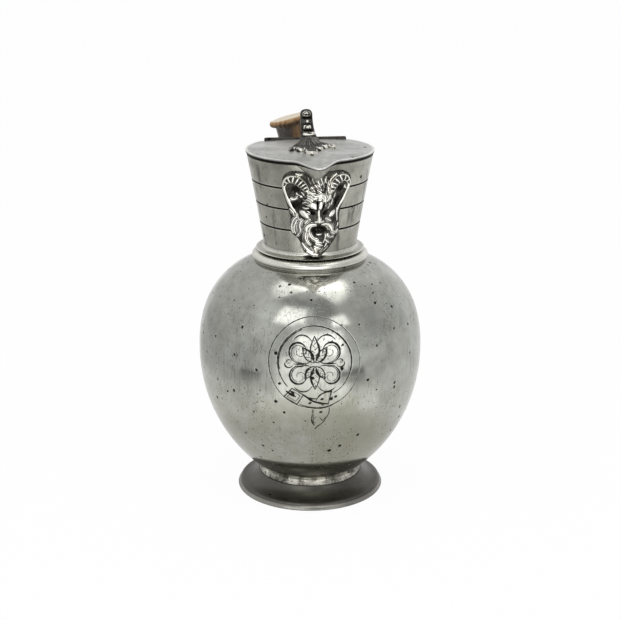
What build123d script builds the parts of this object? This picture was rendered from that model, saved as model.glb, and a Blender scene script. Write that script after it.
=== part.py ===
"""Pewter claret jug with an antler handle and a hinged lid, as an assembly of separate pieces.

Millimetres. +Z is up and the origin is on the bowl's axis, at the plane that the foot stands on.
The pouring lip and the mask face -Y, and the handle is at +Y.
"""

import math
import os

from build123d import *

# Bowl: three tangent arcs and a short straight belly, drawn as radius and height
belly_radius = 75.0
belly_low_height = 100.3
belly_band_height = 3.0
bowl_lower_arc_radius = 107.8
bowl_upper_arc_radius = 85.4
shoulder_arc_radius = 54.4
shoulder_start_angle = 14.8
bowl_wall = 1.6
bowl_seat_rise = 3.0
bowl_seam_rise = 1.5

# Foot and the ring between foot and bowl
foot_radius = 50.0
foot_edge_height = 0.6
foot_round_radius = 46.9
foot_round_height = 4.6
foot_round_bulge = 0.5
foot_waist_radius = 35.6
foot_height = 11.5
foot_cove_depth = 3.0
foot_wall = 1.8
standing_ring_width = 3.2
foot_collar_radius = 35.3
foot_collar_bore_radius = 32.2
foot_collar_rise = 9.0

# Neck: a cone with a slightly hollow outline
neck_base_radius = 29.5
neck_top_radius = 41.6
neck_length = 69.6
neck_hollow = 0.35
neck_wall = 1.6
neck_groove_count = 3
neck_groove_drop = 17.3
neck_groove_spacing = 14.15
neck_groove_radius = 0.4

# Collar round the joint of neck and bowl: its heights are measured from the neck's base
collar_radius = 38.7
collar_edge_rise = 0.3
collar_step_radius = 35.3
collar_step_rise = 4.0
collar_top_rise = 7.8
collar_groove_radius = 0.45
collar_bulge = 1.0
collar_flare = 1.1

# Pouring lip, seen from above: a rounded V that runs out of the rim, from a root just inside it
lip_projection = 16.9
lip_tip_radius = 4.2
lip_root_half_width = 14.0
lip_root_sink = 3.6
lip_root_fillet = 14.0
lip_depth = 13.0
lip_wall = 1.3
lip_taper = 0.12

# Lid
lid_thickness = 1.3
lid_gap = 0.35
lid_overhang = 0.5
lid_dome_radius = 750.0
bezel_clearance = 0.8
bezel_wall = 1.1
bezel_depth = 2.8
bezel_back_setback = 10.5

# Barrel hinge at the back of the mouth: its axis lies this far inside the rim
hinge_setback = 11.1
barrel_radius = 1.7
barrel_rise = 0.15
barrel_length = 54.0
knuckle_gap = 0.25
fixed_knuckle_length = 11.6
hinge_pin_radius = 0.8
hinge_pin_clearance = 0.05
hinge_swing_clearance = 0.35
pin_head_radius = 1.35
pin_head_thickness = 0.6
rear_plate_thickness = 1.5
rear_plate_setback = 1.2

# Thumbpiece: an upright billet with beads that ends in a leaf on the lid, in front of the hinge
billet_base_setback = 9.5
billet_top_setback = 5.0
billet_height = 20.1
billet_width = 9.0
billet_depth = 4.6
billet_corner_share = 0.45
bead_radius = 2.3
bead_sink = 1.15
bead_rises = (16.7, 12.3, 9.1, 1.6)
billet_collar_width = 10.6
billet_collar_height = 3.0
billet_collar_proud = 1.1
billet_collar_rise = 5.2
leaf_root_setback = 13.5
leaf_root_radius = 6.4
leaf_lobe_lengths = (26.0, 36.0, 46.0, 36.0, 26.0)
leaf_lobe_angles = (-42.0, -20.0, 0.0, 20.0, 42.0)
leaf_lobe_width = 8.4
leaf_lobe_widest_share = 0.62
leaf_root_height = 5.2
leaf_edge_height = 1.1
leaf_seam_angle = 97.0

# Mask on the front of the neck, between collar and rim: the places are shares of its height
mask_top_drop = 1.7
mask_chin_gap = 0.6
mask_notch_share = 0.91
mask_horn_share = 0.82
mask_ear_share = 0.50
mask_cheek_share = 0.37
mask_jaw_share = 0.14
mask_half_width = 22.0
mask_ear_half_width = 17.6
mask_cheek_half_width = 16.7
mask_jaw_half_width = 11.0
mask_backing = 2.2
face_share = 0.44
face_half_width = 13.0
face_half_height = 23.0
face_proud = 10.2
nose_length = 13.0
nose_bridge_radius = 1.5
nose_radius = 3.6
nose_share = 0.52
nose_proud = 6.9
horn_ring_radius = 10.5
horn_radius = 3.2
horn_turn = 16.0
horn_share = 0.78
horn_sink = 0.6

# Antler handle: its centre line in two stretches, each place given across the jug, back and up.
# The upper stretch is measured from the back of the rim, the lower one from the widest belly.
grip_upper_across = (-7.2, -4.5, -1.8, -0.4)
grip_upper_back = (22.4, 23.4, 28.9, 38.9)
grip_upper_rise = (9.2, -1.3, -21.3, -43.3)
grip_lower_back = (15.5, 18.0, 15.0, 7.0)
grip_lower_rise = (65.7, 44.7, 28.7, 17.2)
grip_top_radius = 11.0
grip_end_radius = 7.4
grip_section_count = 21
ferrule_section_count = 5
band_section_count = 3
burr_radius = 15.0
burr_thickness = 4.6
burr_rounding = 1.6
burr_tilt_side = -15.0
burr_tilt_back = -5.0

# Handle fittings: the bands' places are shares of the antler's length
band_start = 0.11
band_end = 0.185
band_wall = 1.4
arm_root_width = 11.7
arm_root_height = 13.0
arm_end_width = 9.0
arm_end_height = 8.0
arm_corner_radius = 2.5
arm_drop = 8.3
saddle_wall = 1.4
arm_saddle_half_width = 12.0
arm_saddle_half_height = 7.6
ferrule_start = 0.86
ferrule_wall = 1.4
ferrule_cap = 1.6
rivet_radius = 1.2
rivet_head_radius = 2.3
rivet_head_thickness = 0.9
stub_radius = 6.6
stub_length = 30.0
lower_saddle_rise = 9.2
lower_saddle_half_width = 13.0
lower_saddle_half_height = 16.0


def turned(*edges):
    """A solid turned about the jug's axis from edges drawn as radius and height."""
    return revolve(Plane.XZ * make_face(edges), Axis.Z)


def point_at_angle(centre, radius, angle):
    """The point at an angle above the horizontal on a circle."""
    return (
        centre[0] + radius * math.cos(math.radians(angle)),
        centre[1] + radius * math.sin(math.radians(angle)),
    )


# Centres of the bowl's arcs, and the heights that follow from them
belly_high_height = belly_low_height + belly_band_height
lower_arc_centre = (belly_radius - bowl_lower_arc_radius, belly_low_height)
upper_arc_centre = (belly_radius - bowl_upper_arc_radius, belly_high_height)
shoulder_centre = point_at_angle(
    upper_arc_centre, bowl_upper_arc_radius - shoulder_arc_radius, shoulder_start_angle
)
bowl_bottom_height = foot_height + bowl_seat_rise
bowl_seam_height = belly_low_height + bowl_seam_rise
neck_base_height = shoulder_centre[1] + math.sqrt(
    shoulder_arc_radius**2 - (neck_base_radius - shoulder_centre[0]) ** 2
)
rim_height = neck_base_height + neck_length
collar_edge_height = neck_base_height + collar_edge_rise
collar_step_height = neck_base_height + collar_step_rise
collar_top_height = neck_base_height + collar_top_rise

# Places round the mouth, seen from above
lip_reach = neck_top_radius + lip_projection
lip_root_reach = neck_top_radius - lip_root_sink
hinge_reach = neck_top_radius - hinge_setback
billet_base_reach = hinge_reach - billet_base_setback
billet_top_reach = hinge_reach - billet_top_setback
leaf_root_reach = hinge_reach - leaf_root_setback

# The lid's dome: its edge clears the rim by the gap
dome_drop_at_rim = lid_dome_radius - math.sqrt(lid_dome_radius**2 - neck_top_radius**2)
lid_under_height = rim_height + lid_gap + dome_drop_at_rim
lid_top_height = lid_under_height + lid_thickness
hinge_height = rim_height + barrel_rise + barrel_radius

# Places on the mask, the arm and the antler
mask_chin_height = collar_top_height + mask_chin_gap
mask_height = rim_height - mask_top_drop - mask_chin_height
arm_height = rim_height - arm_drop
grip_line = [
    (across, neck_top_radius + back, rim_height + rise)
    for across, back, rise in zip(grip_upper_across, grip_upper_back, grip_upper_rise)
] + [
    (0, belly_radius + back, belly_high_height + rise)
    for back, rise in zip(grip_lower_back, grip_lower_rise)
]

# How far a cutting form reaches past what it cuts
cut_margin = 20.0


def bowl_solid(inset):
    """The bowl without its hollow, with every wall moved inwards by inset."""
    bottom = bowl_bottom_height + inset
    lower_radius = bowl_lower_arc_radius - inset
    start_angle = -math.degrees(math.asin((belly_low_height - bottom) / lower_radius))
    lower_arc = CenterArc(lower_arc_centre, lower_radius, start_angle, -start_angle)
    upper_arc = CenterArc(upper_arc_centre, bowl_upper_arc_radius - inset, 0, shoulder_start_angle)
    shoulder_arc = CenterArc(
        shoulder_centre, shoulder_arc_radius - inset, shoulder_start_angle, 90 - shoulder_start_angle
    )
    top = (0, (shoulder_arc @ 1).Y)
    return turned(
        Line((0, bottom), lower_arc @ 0),
        lower_arc,
        Line(lower_arc @ 1, upper_arc @ 0),
        upper_arc,
        shoulder_arc,
        Line(shoulder_arc @ 1, top),
        Line(top, (0, bottom)),
    )


def neck_line_centre():
    """Centre and radius of the large arc that the neck's outline follows."""
    rise = rim_height - neck_base_height
    flare = neck_top_radius - neck_base_radius
    chord = math.hypot(rise, flare)
    radius = chord**2 / (8 * neck_hollow) + neck_hollow / 2
    reach = radius - neck_hollow
    middle = ((neck_base_radius + neck_top_radius) / 2, (neck_base_height + rim_height) / 2)
    return (middle[0] + reach * rise / chord, middle[1] - reach * flare / chord), radius


def neck_radius(height):
    """Outer radius of the neck at a height."""
    centre, radius = neck_line_centre()
    return centre[0] - math.sqrt(radius**2 - (height - centre[1]) ** 2)


def neck_solid(inset):
    """The neck without its bore, reaching down into the bowl, with its side moved inwards."""
    base = neck_base_height - cut_margin
    top = rim_height
    middle = (neck_base_height + top) / 2
    side = ThreePointArc(
        (neck_base_radius - inset, neck_base_height),
        (neck_radius(middle) - inset, middle),
        (neck_radius(top) - inset, top),
    )
    return turned(
        Line((0, base), (neck_base_radius - inset, base)),
        Line((neck_base_radius - inset, base), side @ 0),
        side,
        Line(side @ 1, (0, top)),
        Line((0, top), (0, base)),
    )


def mouth_plan(overhang):
    """Outline of the mouth with its beak, seen from above, widened by overhang."""
    tip_centre = (0, -(lip_reach - lip_tip_radius))
    tip_radius = lip_tip_radius + overhang
    root = (lip_root_half_width + overhang, -lip_root_reach)
    span = math.hypot(root[0] - tip_centre[0], root[1] - tip_centre[1])
    root_angle = math.degrees(math.atan2(root[1] - tip_centre[1], root[0] - tip_centre[0]))
    touch_angle = root_angle - math.degrees(math.acos(tip_radius / span))
    tip = CenterArc(tip_centre, tip_radius, 180 - touch_angle, 180 + 2 * touch_angle)
    left_root = (-root[0], root[1])
    beak = make_face([tip, Line(tip @ 1, root), Line(root, left_root), Line(left_root, tip @ 0)])
    plan = Circle(neck_top_radius + overhang) + beak
    corners = [
        v for v in plan.vertices()
        if v.Y < 0 and lip_root_half_width / 2 < abs(v.X) < neck_top_radius * 0.8
        and abs(math.hypot(v.X, v.Y) - neck_top_radius - overhang) < 0.01
    ]
    return fillet(corners, lip_root_fillet)


def lip_solid(inset):
    """The pouring lip without its channel, with its walls moved inwards by inset."""
    bottom = rim_height - lip_depth + inset
    plan = mouth_plan(0) if inset == 0 else offset(mouth_plan(0), -inset)
    width = 2 * lip_root_half_width + lip_root_fillet / 2
    front = Pos(0, -lip_reach) * Rectangle(width, 2 * (lip_reach - lip_root_reach + lip_root_fillet / 2))
    top_face = plan & front
    foot_face = scale(top_face, by=lip_taper)
    foot_reach = neck_radius(bottom) - inset - (lip_reach - inset) * lip_taper
    return loft(
        [Pos(0, -foot_reach, bottom) * foot_face, Pos(0, 0, rim_height) * top_face], ruled=True
    )


def below_dome(height):
    """Everything near the lid that lies under a dome whose top is at a height on the axis."""
    edge = lip_reach + cut_margin
    drop = lid_dome_radius - math.sqrt(lid_dome_radius**2 - edge**2)
    floor = height - cut_margin
    dome = ThreePointArc((-edge, height - drop), (0, height), (edge, height - drop)).trim(0.5, 1)
    return turned(
        dome, Line(dome @ 1, (edge, floor)), Line((edge, floor), (0, floor)), Line((0, floor), dome @ 0)
    )


def make_foot():
    """Spread foot, hollow beneath, that stands on a flat ring."""
    inner_radius = foot_radius - standing_ring_width
    waist_bore = foot_collar_bore_radius
    shoulder = (foot_round_radius, foot_round_height)
    waist = (foot_waist_radius, foot_height)
    middle = (
        (shoulder[0] + waist[0]) / 2 - foot_cove_depth / 4,
        (shoulder[1] + waist[1]) / 2 - foot_cove_depth / 2,
    )
    rounding = ThreePointArc(
        (foot_radius, foot_edge_height),
        (
            (foot_radius + shoulder[0]) / 2 + foot_round_bulge,
            (foot_edge_height + shoulder[1]) / 2 + foot_round_bulge,
        ),
        shoulder,
    )
    cove = ThreePointArc(shoulder, middle, waist)
    hollow = ThreePointArc(
        (waist_bore, foot_height - foot_wall),
        (middle[0] - foot_wall / 2, middle[1] - foot_wall),
        (inner_radius, foot_edge_height / 2),
    )
    return turned(
        Line((inner_radius, 0), (foot_radius, 0)),
        Line((foot_radius, 0), rounding @ 0),
        rounding,
        cove,
        Line(waist, (waist_bore, foot_height)),
        Line((waist_bore, foot_height), hollow @ 0),
        hollow,
        Line(hollow @ 1, (inner_radius, 0)),
    )


def make_foot_collar():
    """Short ring on the foot, hollowed on top to seat the bowl."""
    ring = Cylinder(foot_collar_radius, foot_collar_rise)
    ring -= Cylinder(foot_collar_bore_radius, foot_collar_rise)
    return Pos(0, 0, foot_height + foot_collar_rise / 2) * ring - bowl_solid(0)


def make_bowl_halves():
    """Lower and upper shell of the bowl, parted at the seam, open to the neck at the top."""
    shell = bowl_solid(0) - bowl_solid(bowl_wall)
    seam = Plane.XY.offset(bowl_seam_height)
    lower = split(shell, bisect_by=seam, keep=Keep.BOTTOM)
    upper = split(shell, bisect_by=seam, keep=Keep.TOP)
    opening = Pos(0, 0, neck_base_height) * Cylinder(neck_base_radius - neck_wall, cut_margin)
    return lower, upper - opening


def make_neck():
    """Flaring neck with incised rings, that stands on the shoulder and opens into the lip."""
    neck = neck_solid(0) - neck_solid(neck_wall)
    neck -= bowl_solid(0)
    for number in range(neck_groove_count):
        height = rim_height - neck_groove_drop - number * neck_groove_spacing
        neck -= Pos(0, 0, height) * Torus(neck_radius(height), neck_groove_radius)
    return neck - lip_solid(lip_wall)


def make_neck_collar():
    """Moulded ring round the foot of the neck, with one incised line."""
    flare = ThreePointArc(
        (neck_radius(collar_top_height), collar_top_height),
        (neck_radius(collar_top_height) + collar_flare, collar_step_height + 2 * collar_flare),
        (collar_step_radius, collar_step_height),
    )
    bulge = ThreePointArc(
        flare @ 1,
        (collar_radius - collar_bulge, (collar_step_height + collar_edge_height) / 2 + collar_bulge),
        (collar_radius, collar_edge_height),
    )
    floor = shoulder_centre[1]
    ring = turned(
        Line((0, collar_top_height), flare @ 0),
        flare,
        bulge,
        Line(bulge @ 1, (collar_radius, floor)),
        Line((collar_radius, floor), (0, floor)),
        Line((0, floor), (0, collar_top_height)),
    )
    groove = Pos(0, 0, collar_step_height) * Torus(collar_step_radius, collar_groove_radius)
    return ring - groove - bowl_solid(0) - neck_solid(0)


def make_pouring_lip():
    """Beak-shaped funnel on the front of the neck, its edge drooping with the lid above it."""
    lip = lip_solid(0) - lip_solid(lip_wall) - neck_solid(0)
    return lip & below_dome(lid_under_height - lid_gap)


def knuckle_spans():
    """Where the knuckles lie along the barrel: the fixed ones, then the lid's ones."""
    half = barrel_length / 2
    inner = fixed_knuckle_length / 2
    fixed = [(-half, -half + fixed_knuckle_length), (-inner, inner), (half - fixed_knuckle_length, half)]
    moving = [(fixed[i][1] + knuckle_gap, fixed[i + 1][0] - knuckle_gap) for i in range(2)]
    return fixed, moving


def rod_across(radius, start, end):
    """A round bar along the hinge axis between two places across the jug."""
    middle = (start + end) / 2
    return Pos(middle, hinge_reach, hinge_height) * Rot(0, 90, 0) * Cylinder(radius, end - start)


def plate_beside_barrel(plate, own_spans):
    """A plate cut to sit against its own knuckles and to clear the other ones."""
    swing_radius = barrel_radius + hinge_swing_clearance
    edge = neck_top_radius + cut_margin
    stops = [-edge] + [place for span in own_spans for place in span] + [edge]
    plate -= rod_across(barrel_radius, -edge, edge)
    for start, end in zip(stops[0::2], stops[1::2]):
        if end > start:
            plate -= rod_across(swing_radius, start, end)
    return plate


def make_knuckles(spans):
    """Tubes of the barrel hinge, one for each span."""
    bore = hinge_pin_radius + hinge_pin_clearance
    return [rod_across(barrel_radius, *span) - rod_across(bore, *span) for span in spans]


def make_hinge_pin():
    """Pin through the barrel with a rivet head at each end."""
    half = barrel_length / 2
    pin = rod_across(hinge_pin_radius, -half, half)
    for side in (-1, 1):
        outer = side * (half + pin_head_thickness)
        pin += rod_across(pin_head_radius, min(side * half, outer), max(side * half, outer))
    return pin


def make_rear_plate():
    """Fixed segment behind the hinge, lying on the rim."""
    front = hinge_reach + rear_plate_setback
    back = neck_top_radius + cut_margin
    plan = Circle(neck_top_radius) & Pos(0, (front + back) / 2) * Rectangle(2 * back, back - front)
    plate = Pos(0, 0, rim_height) * extrude(plan, rear_plate_thickness)
    fixed, _ = knuckle_spans()
    return plate_beside_barrel(plate, fixed)


def make_lid_cover():
    """Thin domed plate with a beak, cut straight along the hinge."""
    back = hinge_reach - hinge_pin_radius
    front = lip_reach + cut_margin
    plan = mouth_plan(lid_overhang) & Pos(0, (back - front) / 2) * Rectangle(2 * front, back + front)
    block = Pos(0, 0, -cut_margin / 2) * extrude(plan, cut_margin)
    cover = block & (below_dome(lid_thickness) - below_dome(0))
    cover = Pos(0, 0, lid_under_height) * cover
    _, moving = knuckle_spans()
    return plate_beside_barrel(cover, moving)


def make_lid_bezel():
    """Shallow ring under the lid that drops into the mouth."""
    bottom = rim_height - bezel_depth
    outer = neck_radius(bottom) - neck_wall - bezel_clearance
    height = lid_under_height - bottom
    ring = Cylinder(outer, height) - Cylinder(outer - bezel_wall, height)
    ring = Pos(0, 0, bottom + height / 2) * ring & below_dome(lid_under_height)
    middle = hinge_reach - bezel_back_setback - outer
    return ring & Pos(0, middle, bottom) * Box(4 * outer, 2 * outer, 4 * height)


def leaf_lobe(length, angle):
    """One pointed lobe of the leaf, drawn flat on the lid."""
    half_width = leaf_lobe_width / 2
    widest = length * leaf_lobe_widest_share
    side = ThreePointArc((0, 0), (half_width, -widest), (0, -length))
    other = ThreePointArc((0, -length), (-half_width, -widest), (0, 0))
    return Pos(0, leaf_root_reach) * Rot(0, 0, angle) * make_face([side, other])


def make_billet():
    """Bar of the thumbpiece with its beads and collar, leaning towards the handle, above height 0."""
    lean = math.atan2(billet_top_reach - billet_base_reach, billet_height)
    length = (billet_height + lid_thickness) / math.cos(lean)
    bar = Box(billet_width, billet_depth, length, align=(Align.CENTER, Align.CENTER, Align.MIN))
    bar = fillet(bar.edges().filter_by(Axis.Y).sort_by(Axis.Z)[-2:], billet_width * billet_corner_share)
    front = -billet_depth / 2
    for rise in bead_rises:
        bar += Pos(0, front + bead_sink, lid_thickness + rise) * Sphere(bead_radius)
    collar = Box(billet_collar_width, billet_depth + 2 * billet_collar_proud, billet_collar_height)
    collar = fillet(collar.edges().filter_by(Axis.Z), billet_depth / 2)
    bar += Pos(0, 0, lid_thickness + billet_collar_rise) * collar
    return Pos(0, billet_base_reach, -lid_thickness) * Rot(-math.degrees(lean), 0, 0) * bar


def make_leaf():
    """Leaf of pointed lobes that lies at height 0 and rises to the foot of the billet."""
    outline = Pos(0, leaf_root_reach) * Circle(leaf_root_radius)
    for length, angle in zip(leaf_lobe_lengths, leaf_lobe_angles):
        outline += leaf_lobe(length, angle)
    reach = max(leaf_lobe_lengths) + leaf_root_radius
    floor = -cut_margin / 2
    corners = [(0, floor), (reach, floor), (reach, leaf_edge_height)]
    corners += [(billet_width / 2, leaf_root_height), (0, leaf_root_height)]
    slope = turned(*(Line(a, b) for a, b in zip(corners, corners[1:] + corners[:1])))
    # The slope's seam is turned to the back, where no lobe's edge meets it
    form = Pos(0, leaf_root_reach) * Rot(0, 0, leaf_seam_angle) * slope
    slab = extrude(outline, cut_margin, dir=(0, 0, 1))
    return Pos(0, 0, -cut_margin / 4) * slab & form


def make_thumbpiece():
    """Billet and leaf in one casting, fitted to the lid's dome."""
    return Pos(0, 0, lid_top_height) * ((make_billet() + make_leaf()) - below_dome(0))


def mask_place(share):
    """Height of a place on the mask, from its chin up."""
    return mask_chin_height + mask_height * share


def mask_outline():
    """Outline of the mask seen from the front: two horn curls, ears, cheeks and a pointed beard."""
    notch = (0, mask_place(mask_notch_share))
    chin = (0, mask_chin_height)
    outline = []
    for side in (1, -1):
        top = (side * mask_half_width / 2, mask_place(1))
        horn = (side * mask_half_width, mask_place(mask_horn_share))
        ear = (side * mask_ear_half_width, mask_place(mask_ear_share))
        cheek = (side * mask_cheek_half_width, mask_place(mask_cheek_share))
        jaw = (side * mask_jaw_half_width, mask_place(mask_jaw_share))
        outline += [ThreePointArc(notch, top, horn), ThreePointArc(horn, ear, cheek)]
        outline.append(ThreePointArc(cheek, jaw, chin))
    return make_face(outline)


def make_mask():
    """Cast satyr mask: a backing that fits the neck, with a face, a nose and two horns on it."""
    column = extrude(Plane.XZ * mask_outline(), 2 * neck_top_radius)
    mask = column & neck_solid(-mask_backing)
    face_height = mask_place(face_share)
    face = scale(
        Sphere(face_half_width), by=(1, face_proud / face_half_width, face_half_height / face_half_width)
    )
    mask += Pos(0, -neck_radius(face_height), face_height) * face & column
    nose_height = mask_place(nose_share)
    nose = Cone(nose_radius, nose_bridge_radius, nose_length)
    mask += Pos(0, -neck_radius(nose_height) - nose_proud, nose_height) * nose
    horn_height = mask_place(horn_share)
    horn = Rot(90, 0, 0) * Torus(horn_ring_radius - horn_radius, horn_radius)
    for side in (-1, 1):
        turn = Rot(0, 0, side * horn_turn)
        mask += turn * Pos(0, horn_sink - neck_radius(horn_height), horn_height) * horn
    return mask - neck_solid(0) - lip_solid(0)


grip_path = Spline(grip_line)


def grip_radius(share):
    """Radius of the antler at a share of its length from the burr down."""
    return grip_top_radius + (grip_end_radius - grip_top_radius) * share**1.3


def grip_plane(share):
    """Plane across the antler at a share of its length, facing down the antler."""
    return Plane(origin=grip_path @ share, x_dir=(1, 0, 0), z_dir=grip_path % share)


def grip_stretch(start, end, thickness, count):
    """A stretch of the antler's form, thickened by a wall."""
    shares = [start + (end - start) * i / (count - 1) for i in range(count)]
    rings = [grip_plane(share) * Circle(grip_radius(share) + thickness) for share in shares]
    return loft(rings, ruled=True)


def rivet_across(share, wall):
    """A rivet with two domed heads through the antler and a wall around it."""
    centre = grip_path @ share
    reach = grip_radius(share) + wall
    rivet = Rot(0, 90, 0) * Cylinder(rivet_radius, 2 * reach)
    for side in (-1, 1):
        head = Cylinder(rivet_head_radius, rivet_head_thickness + wall)
        rivet += Pos(side * (reach + (rivet_head_thickness - wall) / 2), 0, 0) * Rot(0, 90, 0) * head
    return Pos(centre) * rivet


def band_share():
    """Middle of the band along the antler."""
    return (band_start + band_end) / 2


def ferrule_share():
    """Place of the ferrule's rivet along the antler."""
    return (ferrule_start + 1) / 2


def make_antler_grip():
    """Curved antler with its burr and cut face at the top, drilled for two rivets."""
    beam = grip_stretch(0, 1, 0, grip_section_count)
    disc = Cylinder(burr_radius, burr_thickness)
    disc = fillet(disc.edges().filter_by(GeomType.CIRCLE), burr_rounding)
    burr = Pos(grip_line[0]) * Rot(burr_tilt_back, burr_tilt_side, 0) * disc
    grip = beam + burr
    grip -= rivet_across(band_share(), band_wall)
    return grip - rivet_across(ferrule_share(), ferrule_wall)


def make_handle_band():
    """Band round the antler, which the arm from the neck holds."""
    band = grip_stretch(band_start, band_end, band_wall, band_section_count)
    band -= grip_stretch(0, 1, 0, grip_section_count)
    return band - rivet_across(band_share(), band_wall)


def make_handle_arm():
    """Cast arm with a saddle that fits the back of the neck."""
    band_centre = grip_path @ band_share()
    end = Plane(origin=(band_centre.X, band_centre.Y, arm_height), z_dir=(0, 1, 0))
    inside = neck_radius(arm_height - arm_root_height) - neck_wall
    start = Plane(origin=(0, inside, arm_height), z_dir=(0, 1, 0))
    arm = loft(
        [
            start * RectangleRounded(arm_root_width, arm_root_height, arm_corner_radius),
            end * RectangleRounded(arm_end_width, arm_end_height, arm_corner_radius),
        ],
        ruled=True,
    )
    pad = Plane(origin=(0, 0, arm_height), z_dir=(0, 1, 0)) * Ellipse(
        arm_saddle_half_width, arm_saddle_half_height
    )
    saddle = extrude(pad, 2 * neck_top_radius) & neck_solid(-saddle_wall)
    arm = (arm + saddle) - neck_solid(0)
    reach = band_end - band_start
    hold = (band_start - reach / 2, band_end + reach / 2)
    return arm - grip_stretch(*hold, band_wall, 2 * band_section_count - 1)


def make_ferrule():
    """Cup over the lower end of the antler, closed at its bottom."""
    cup = grip_stretch(ferrule_start, 1, ferrule_wall, ferrule_section_count)
    cup += extrude(grip_plane(1) * Circle(grip_radius(1) + ferrule_wall), ferrule_cap)
    cup -= grip_stretch(0, 1, 0, grip_section_count)
    return cup - rivet_across(ferrule_share(), ferrule_wall)


def make_lower_saddle():
    """Stub and saddle that hold the ferrule on the back of the bowl."""
    end = grip_plane(1).offset(ferrule_cap)
    stub = extrude(end * Circle(stub_radius), stub_length)
    pad = Plane(origin=(0, 0, belly_high_height + lower_saddle_rise), z_dir=(0, 1, 0)) * Ellipse(
        lower_saddle_half_width, lower_saddle_half_height
    )
    saddle = extrude(pad, 2 * belly_radius) & bowl_solid(-saddle_wall)
    cup = grip_stretch(ferrule_start, 1, ferrule_wall, ferrule_section_count)
    return (stub + saddle) - bowl_solid(0) - cup


def main():
    """Make every piece and write one file for each."""
    lower_bowl, upper_bowl = make_bowl_halves()
    fixed_spans, moving_spans = knuckle_spans()
    pieces = {
        "foot": make_foot(),
        "foot_collar": make_foot_collar(),
        "lower_bowl": lower_bowl,
        "upper_bowl": upper_bowl,
        "neck_collar": make_neck_collar(),
        "neck": make_neck(),
        "pouring_lip": make_pouring_lip(),
        "mask": make_mask(),
        "rear_plate": make_rear_plate(),
        "fixed_knuckles": Compound(make_knuckles(fixed_spans)),
        "hinge_pin": make_hinge_pin(),
        "handle_arm": make_handle_arm(),
        "handle_band": make_handle_band(),
        "band_rivet": rivet_across(band_share(), band_wall),
        "antler_grip": make_antler_grip(),
        "handle_ferrule": make_ferrule(),
        "ferrule_rivet": rivet_across(ferrule_share(), ferrule_wall),
        "lower_saddle": make_lower_saddle(),
        "lid_cover": make_lid_cover(),
        "lid_bezel": make_lid_bezel(),
        "lid_knuckles": Compound(make_knuckles(moving_spans)),
        "thumbpiece": make_thumbpiece(),
    }
    os.makedirs("parts", exist_ok=True)
    for name, solid in pieces.items():
        export_step(solid, f"parts/{name}.step")


main()
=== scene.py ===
"""Dressing of the pewter claret jug: turned body, cast mask, antler handle and hinged lid.

Sizes are in millimetres and become metres in the meshes. The jug stands on the floor at height
nought, its axis is the vertical axis, and the pouring lip points along -Y.
"""

import logging
import math
from collections.abc import Callable, Iterator
from contextlib import contextmanager
from dataclasses import dataclass
from enum import Enum

import bmesh
import bpy
import numpy as np
from mathutils import Matrix, Vector, kdtree, noise


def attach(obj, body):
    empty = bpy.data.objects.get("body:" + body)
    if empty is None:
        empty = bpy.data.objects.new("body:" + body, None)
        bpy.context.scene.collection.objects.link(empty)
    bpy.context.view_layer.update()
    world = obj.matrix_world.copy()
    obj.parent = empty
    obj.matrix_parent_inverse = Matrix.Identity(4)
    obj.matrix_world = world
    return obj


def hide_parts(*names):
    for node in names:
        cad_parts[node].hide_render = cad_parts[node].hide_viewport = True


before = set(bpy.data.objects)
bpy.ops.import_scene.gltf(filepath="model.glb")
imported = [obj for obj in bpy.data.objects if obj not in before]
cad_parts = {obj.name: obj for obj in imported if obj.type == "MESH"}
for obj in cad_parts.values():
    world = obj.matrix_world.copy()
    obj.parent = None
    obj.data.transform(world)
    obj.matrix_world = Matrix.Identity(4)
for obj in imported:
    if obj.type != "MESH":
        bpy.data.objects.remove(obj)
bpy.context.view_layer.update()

MM = 0.001
SAME_PLACE = 2e-6
LOG = logging.getLogger("claret_jug")
Pair = tuple[float, float]
Triple = tuple[float, float, float]
Stroke = tuple[tuple[Triple, ...], float]
Arrays = tuple[np.ndarray, np.ndarray, np.ndarray]
Ring = tuple[Vector, Matrix, float, float, float]
Piece = bpy.types.Object
Material = bpy.types.Material
Tree = bpy.types.NodeTree
Node = bpy.types.Node
Socket = bpy.types.NodeSocket


class Body(Enum):
    """The two rigid groups that pieces ride on."""

    JUG = "jug"
    LID = "lid"


class Slot(Enum):
    """The finishes that the part names."""

    SATIN = "satin_pewter"
    DARK = "dark_pewter"
    BLACKENED = "blackened_pewter"
    ANTLER = "antler"


# ---------------------------------------------------------------- modelling helpers


def deselect_all() -> None:
    """Leave edit mode and deselect every object."""
    if bpy.context.object and bpy.context.object.mode != "OBJECT":
        bpy.ops.object.mode_set(mode="OBJECT")
    bpy.ops.object.select_all(action="DESELECT")


def activate(piece: Piece) -> None:
    """Make one object the only selected and active one."""
    deselect_all()
    piece.select_set(True)
    bpy.context.view_layer.objects.active = piece


def take_new(name: str) -> Piece:
    """Name the object that an operator has just added, and put its place into its mesh.

    Args:
        name: The name that the object and its mesh get.

    Returns:
        The object, at the origin, unturned and unscaled.
    """
    piece = bpy.context.object
    piece.name = name
    piece.data.name = name
    bpy.ops.object.transform_apply(location=True, rotation=True, scale=True)
    return piece


def modify(piece: Piece, kind: str, **settings: object) -> None:
    """Add one modifier to a piece and apply it.

    Args:
        piece: The object to change.
        kind: Blender's name for the kind of modifier.
        **settings: Values of the modifier's own settings.
    """
    activate(piece)
    modifier = piece.modifiers.new(kind.title(), kind)
    for key, value in settings.items():
        setattr(modifier, key, value)
    bpy.ops.object.modifier_apply(modifier=modifier.name)


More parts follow.
